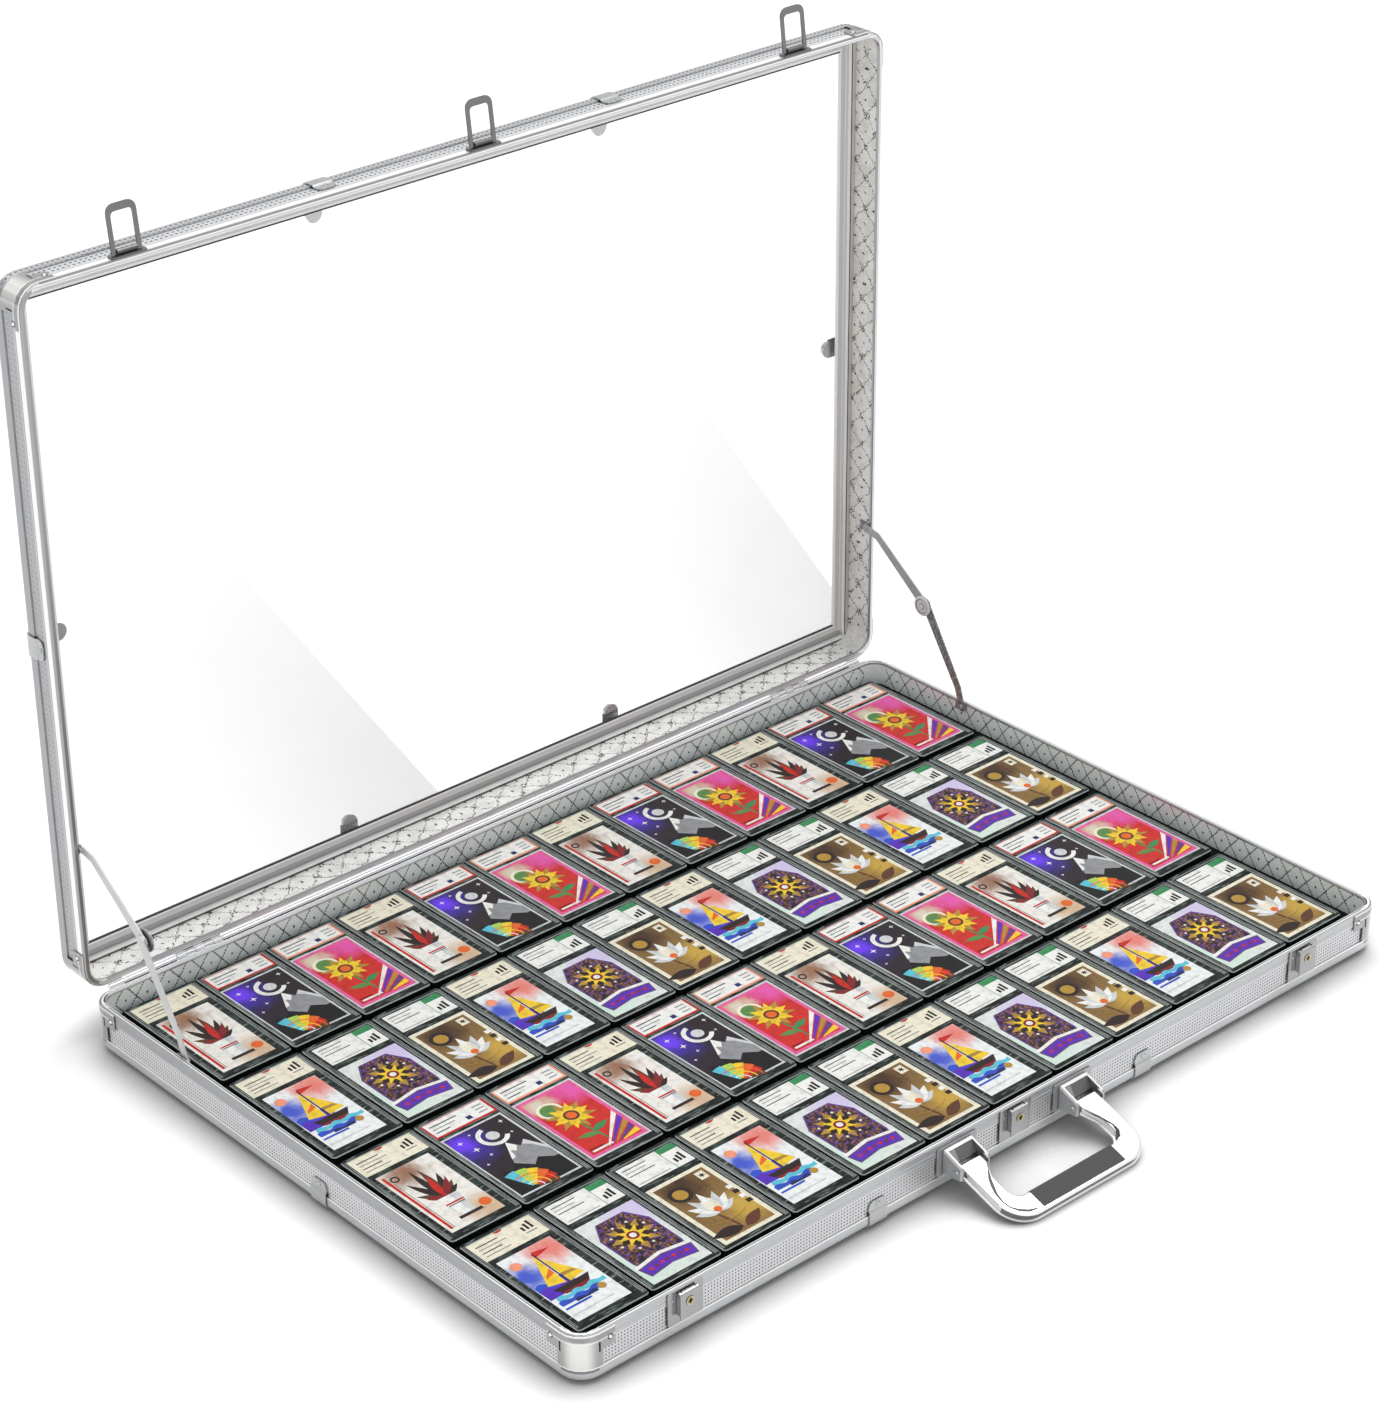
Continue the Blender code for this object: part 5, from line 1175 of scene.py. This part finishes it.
GRIP_SECTION = (
    (-59.6, 3.6), (-59.6, 4.3), (-59.3, 4.45), (-44.2, 4.45), (-42.8, 3.95), (-42.4, 2.85), (-42.4, -1.2),
    (-43.6, -1.2))
GRIP_SHOULDER = 4.2
GRIP_GROOVE = 0.12
GRIP_HALF = 44
GRIP_RIB = 2


def arc_points(centre_x, centre_y, radius, start, stop, steps):
    """Points on an arc, with its angles in degrees."""
    angles = [math.radians(start + (stop - start) * step / steps) for step in range(steps + 1)]
    return [(centre_x + radius * math.cos(angle), centre_y + radius * math.sin(angle)) for angle in angles]


def inset_outline(points, inset):
    """The outline moved inwards by inset at each point, for an outline drawn anticlockwise."""
    moved = []
    for i, point in enumerate(points):
        before = (Vector(point) - Vector(points[i - 1])).normalized()
        after = (Vector(points[(i + 1) % len(points)]) - Vector(point)).normalized()
        side_a = Vector((-before.y, before.x))
        side_b = Vector((-after.y, after.x))
        middle = (side_a + side_b).normalized()
        moved.append(tuple(Vector(point) + middle * inset / max(middle.dot(side_a), 0.5)))
    return moved


def handle_outline():
    """The handle's outline from above, with its pivot at y 0 and its grip towards -y."""
    half, end, corner = HANDLE_HALF, -HANDLE_REACH, HANDLE_CORNER
    inner, hollow, edge = half - HANDLE_ARM, HANDLE_HOLLOW, -HANDLE_REACH + HANDLE_BAR
    points = [(-half, HANDLE_HEEL)]
    points += arc_points(-half + corner, end + corner, corner, 180, 270, 14)
    points += arc_points(half - corner, end + corner, corner, 270, 360, 14)
    points += [(half, HANDLE_HEEL), (half - HANDLE_ROOT, HANDLE_HEEL), (half - HANDLE_ROOT, -HANDLE_HEEL)]
    points += [(inner, -HANDLE_HEEL - HANDLE_TAPER)]
    points += arc_points(inner - hollow, edge + hollow, hollow, 0, -90, 8)
    points += arc_points(-inner + hollow, edge + hollow, hollow, -90, -180, 8)
    points += [(-inner, -HANDLE_HEEL - HANDLE_TAPER)]
    points += [(-half + HANDLE_ROOT, -HANDLE_HEEL), (-half + HANDLE_ROOT, HANDLE_HEEL)]
    return points


def ribbon(build, path, height, finish):
    """A thin flat strip along a path of (x, y, width), in millimetres."""
    edges = []
    for index, (x, y, width) in enumerate(path):
        before = Vector(path[max(index - 1, 0)][:2])
        after = Vector(path[min(index + 1, len(path) - 1)][:2])
        ahead = (after - before).normalized() * width / 2
        edges.append((((x - ahead.y) * MM, (y + ahead.x) * MM), ((x + ahead.y) * MM, (y - ahead.x) * MM)))
    for (left, right), (next_left, next_right) in zip(edges, edges[1:]):
        build.plate([left, right, next_right, next_left], height, height + CREASE_LAYERS * LAYER, finish)


def make_bail():
    """A chromed bail with a stepped lip below, in painted light and shade, and strips of painted shade in the
    creases of its arms.
    """
    def side(centre):
        """The side has painted light along the arms and painted shade round the bar."""
        return finishes["bright" if centre.y > -HANDLE_REACH + HANDLE_CORNER * 0.8 else "chrome_shaded_side"]

    build = Sculpt()
    outline = handle_outline()
    profile = [
        (inset * MM, height * MM, side if name == "chrome_shaded_side" else finishes[name])
        for inset, height, name in HANDLE_PROFILE]
    first, last = finishes["chrome_shaded_side"], finishes["chrome"]
    build.stack(lambda inset: inset_outline(outline, inset), profile, first, last)
    _, top, _ = profile[-1]
    # Strips of painted shade along the creases.
    for path in CREASE_SHADE_PATHS:
        ribbon(build, path, top, finishes["crease"])
    bail = build.piece("handle_bail", "handle", HANDLE_TURN)
    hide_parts("handle")


def make_grip():
    """A soft grip over the bail's bar, ribbed across its top."""
    build = Sculpt()
    loops = []
    for index in range(4 * GRIP_HALF // GRIP_RIB + 1):
        groove = GRIP_GROOVE if index % 2 else 0
        x = index * GRIP_RIB / 2 - GRIP_HALF
        loops.append(build.points(
            Vector((x, y, z - groove if z > GRIP_SHOULDER else z)) * MM for y, z in GRIP_SECTION))
    rubber = finishes["grip"]
    build.loft(loops, [rubber] * len(loops), rubber, rubber)
    build.piece("handle_grip", "handle", HANDLE_TURN)


# These are in millimetres. The window's section holds how far it stands out from the case and how high,
# and its places run from its centre.
MOUNT_PLACE = 62.6
WINDOW_HALF = 12.4
WINDOW_PLACES = (-WINDOW_HALF, -WINDOW_HALF * 0.52, -WINDOW_HALF * 0.48, WINDOW_HALF - 0.3, WINDOW_HALF)
WINDOW_SECTION = (
    (5.2, 31.4), (9.3, 25.0), (9.5, 24.4), (9.5, 20.0), (8.7, 20.0), (8.7, 24.2), (4.2, 31.2), (4.2, 32.9))


def make_windows():
    """A satin cover in the opening of each handle bracket, lighter at its left."""
    light, plain = finishes["latch"], finishes["window"]
    for name, centre in (("left", -MOUNT_PLACE), ("right", MOUNT_PLACE)):
        build = Sculpt()
        loops = []
        for place in WINDOW_PLACES:
            x = (centre + place) * MM
            loops.append(build.points(
                (x, CASE_LOW.y - out * MM, CASE_LOW.z + rise * MM) for out, rise in WINDOW_SECTION))
        build.loft(loops, (light, plain, plain, plain), light, plain)
        build.piece("mount_window_" + name, "base")


HINGE_AXIS = Vector((0, 315.97 * MM, 43.7 * MM))
BEAD_RADIUS = 2.2 * MM
BEAD_LEG = 14 * MM
BEAD_LEG_THICK = 0.9 * MM
BEAD_BACK = 0.5 * MM
BEAD_GAP = 0.6 * MM
BEAD_MARGIN = 20 * MM
BEAD_TAPER = 0.4 * MM
BEAD_END = 0.82


def make_hinge_beads():
    """The bright bead along the back edge, beside and between the hinges, with a leg down the back wall."""
    hinge_low, hinge_high = (Vector(corner).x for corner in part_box("base_hinge_right"))
    near, far, reach = hinge_low - BEAD_GAP, hinge_high + BEAD_GAP, CASE_HIGH.x - BEAD_MARGIN
    face = CASE_HIGH.y + BEAD_BACK - HINGE_AXIS.y
    leg = [(face, -BEAD_LEG), (face + BEAD_LEG_THICK, -BEAD_LEG)]
    bead = arc_points(0, 0, BEAD_RADIUS, -110, 172, 14)
    for index, (low, high) in enumerate(((-reach, -far), (-near, near), (far, reach))):
        build = Sculpt()
        loops = []
        for x, share in ((low, BEAD_END), (low + BEAD_TAPER, 1), (high - BEAD_TAPER, 1), (high, BEAD_END)):
            loops.append(build.points(
                [(x, y, z * share) for y, z in leg] + [(x, y * share, z * share) for y, z in bead]))
        rim = finishes["rim"]
        build.loft(loops, (rim, rim, rim), rim, rim)
        build.piece(f"hinge_bead_{index + 1}", "base", Matrix.Translation(HINGE_AXIS))


# The rivet's profile holds radii and heights in millimetres, and the finish up to each.
ELBOW = (242.27 * MM, 124.4 * MM)
RIVET_PROFILE = (
    (8.6, 0.0, "dark"), (9.6, 0.25, "dark"), (9.6, 1.6, "stay"), (9.0, 2.4, "rivet"), (7.0, 2.6, "rivet"),
    (6.2, 2.3, "dark"), (3.2, 2.3, "rivet"), (2.6, 2.7, "dark"), (1.0, 2.9, "rivet"))
RIVET_STEPS = 28
RIVET_SINK = 0.9 * MM


def make_rivets():
    """The broad turned rivet heads on the inner sides of the stays' elbows."""
    coats = [finishes[name] for _, _, name in RIVET_PROFILE]
    for name, side in (("left", -1), ("right", 1)):
        inner = Vector(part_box("stay_lower_" + name)[0 if side > 0 else 1]).x
        centre = Vector((inner + side * RIVET_SINK, *ELBOW))
        axis = Vector((-side, 0, 0))
        out = axis.orthogonal().normalized()
        other = axis.cross(out)
        angles = [2 * math.pi * step / RIVET_STEPS for step in range(RIVET_STEPS)]
        spokes = [out * math.cos(angle) + other * math.sin(angle) for angle in angles]
        build = Sculpt()
        loops = [
            build.points(centre + (axis * height + spoke * radius) * MM for spoke in spokes)
            for radius, height, _ in RIVET_PROFILE]
        build.loft(loops, coats[1:], coats[0], coats[-1])
        build.piece("stay_rivet_" + name, "stay_lower_" + name)


# The floor glows for the camera, and a little in reflections, more of it at the right. Near the case it is
# darkened, down to the share CONTACT_SHADE.
FLOOR_NODES = (
    "OutputMaterial", "BsdfDiffuse", "Emission", "AddShader", "AmbientOcclusion", "CombineColor", "TexCoord")
FLOOR_REACH = 40
FLOOR_TONE = 0.9
FLOOR_GLOW = 0.27
FLOOR_SHEEN, FLOOR_SHEEN_GAIN = 0.05, 0.1
FLOOR_SHEEN_SPAN = (-0.9, 0.4)
CONTACT_REACH = 55 * MM
CONTACT_SHADE = 0.45
CONTACT_SPAN = (0.25, 1.0)
CONTACT_SAMPLES = 8

# The sky's light, and its brightness in reflections from low to high.
SKY_LIGHT = 0.66
SKY_LOW = 0.55
SKY_SPAN = (0.05, 0.6)
SUN_ENERGY = 1.35
SUN_SPREAD = math.radians(38)
SUN_DIRECTION = Vector((0.3, 0.16, 0.92))


def rays(tree):
    """1 where the camera looks, also through the clear panel, and 1 in reflections."""
    path = tree.nodes.new("ShaderNodeLightPath")
    camera, through, glossy = (
        Field(tree, path.outputs[f"Is {kind} Ray"]) for kind in ("Camera", "Transmission", "Glossy"))
    return camera.most(through), glossy


def make_stage():
    """A white floor that keeps the object's shadow."""
    mesh = bpy.data.meshes.new("floor")
    corners = [(x * FLOOR_REACH, y * FLOOR_REACH, 0) for x, y in ((-1, -1), (1, -1), (1, 1), (-1, 1))]
    mesh.from_pydata(corners, [], [(0, 1, 2, 3)])
    material = bpy.data.materials.new("floor")
    material.use_nodes = True
    tree = material.node_tree
    tree.nodes.clear()
    output, diffuse, glow, both, contact, tone, coords = (
        tree.nodes.new("ShaderNode" + kind) for kind in FLOOR_NODES)
    seen, glossy = rays(tree)
    side, _, _ = parts(tree, coords.outputs["Object"])
    sheen = glossy * (side.ease(*FLOOR_SHEEN_SPAN) * FLOOR_SHEEN_GAIN + FLOOR_SHEEN)
    contact.inputs["Distance"].default_value = CONTACT_REACH
    contact.samples = CONTACT_SAMPLES
    open_sky = seen * (Field(tree, contact.outputs["AO"]).ease(*CONTACT_SPAN) - 1) + 1
    shade = open_sky * (1 - CONTACT_SHADE) + CONTACT_SHADE
    for slot in tone.inputs[:3]:
        feed(tree, slot, shade * FLOOR_TONE)
    feed(tree, diffuse.inputs["Color"], tone.outputs[0])
    feed(tree, glow.inputs["Strength"], seen * FLOOR_GLOW * open_sky + sheen)
    feed(tree, both.inputs[0], diffuse.outputs[0])
    feed(tree, both.inputs[1], glow.outputs[0])
    feed(tree, output.inputs["Surface"], both.outputs[0])
    mesh.materials.append(material)
    floor = bpy.data.objects.new("floor", mesh)
    bpy.context.scene.collection.objects.link(floor)


def make_world():
    """White for the camera, and a soft even light with darker zones for reflections."""
    world = bpy.data.worlds.new("studio")
    bpy.context.scene.world = world
    world.use_nodes = True
    tree = world.node_tree
    background = tree.nodes["Background"]
    seen, glossy = rays(tree)
    coords = tree.nodes.new("ShaderNodeTexCoord")
    _, _, height = parts(tree, coords.outputs["Generated"])
    reflected = height.ease(*SKY_SPAN) * (1 - SKY_LOW) + SKY_LOW
    light = glossy * reflected + glossy.inverse() * SKY_LIGHT
    background.inputs["Color"].default_value = (1, 1, 1, 1)
    feed(tree, background.inputs["Strength"], seen + seen.inverse() * light)


def make_lamps():
    """A broad soft sun from the upper right behind, so that the shadow falls to the lower left."""
    sun = bpy.data.lights.new("sun", "SUN")
    sun.energy = SUN_ENERGY
    sun.angle = SUN_SPREAD
    lamp = bpy.data.objects.new("sun", sun)
    lamp.rotation_euler = SUN_DIRECTION.to_track_quat("Z", "Y").to_euler()
    bpy.context.scene.collection.objects.link(lamp)


make_camera()
dress_nodes()
make_insert()
make_slabs()
make_bail()
make_grip()
make_windows()
make_hinge_beads()
make_rivets()
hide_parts("card_tray")
make_stage()
make_world()
make_lamps()
bpy.context.scene.view_settings.view_transform = "Standard"
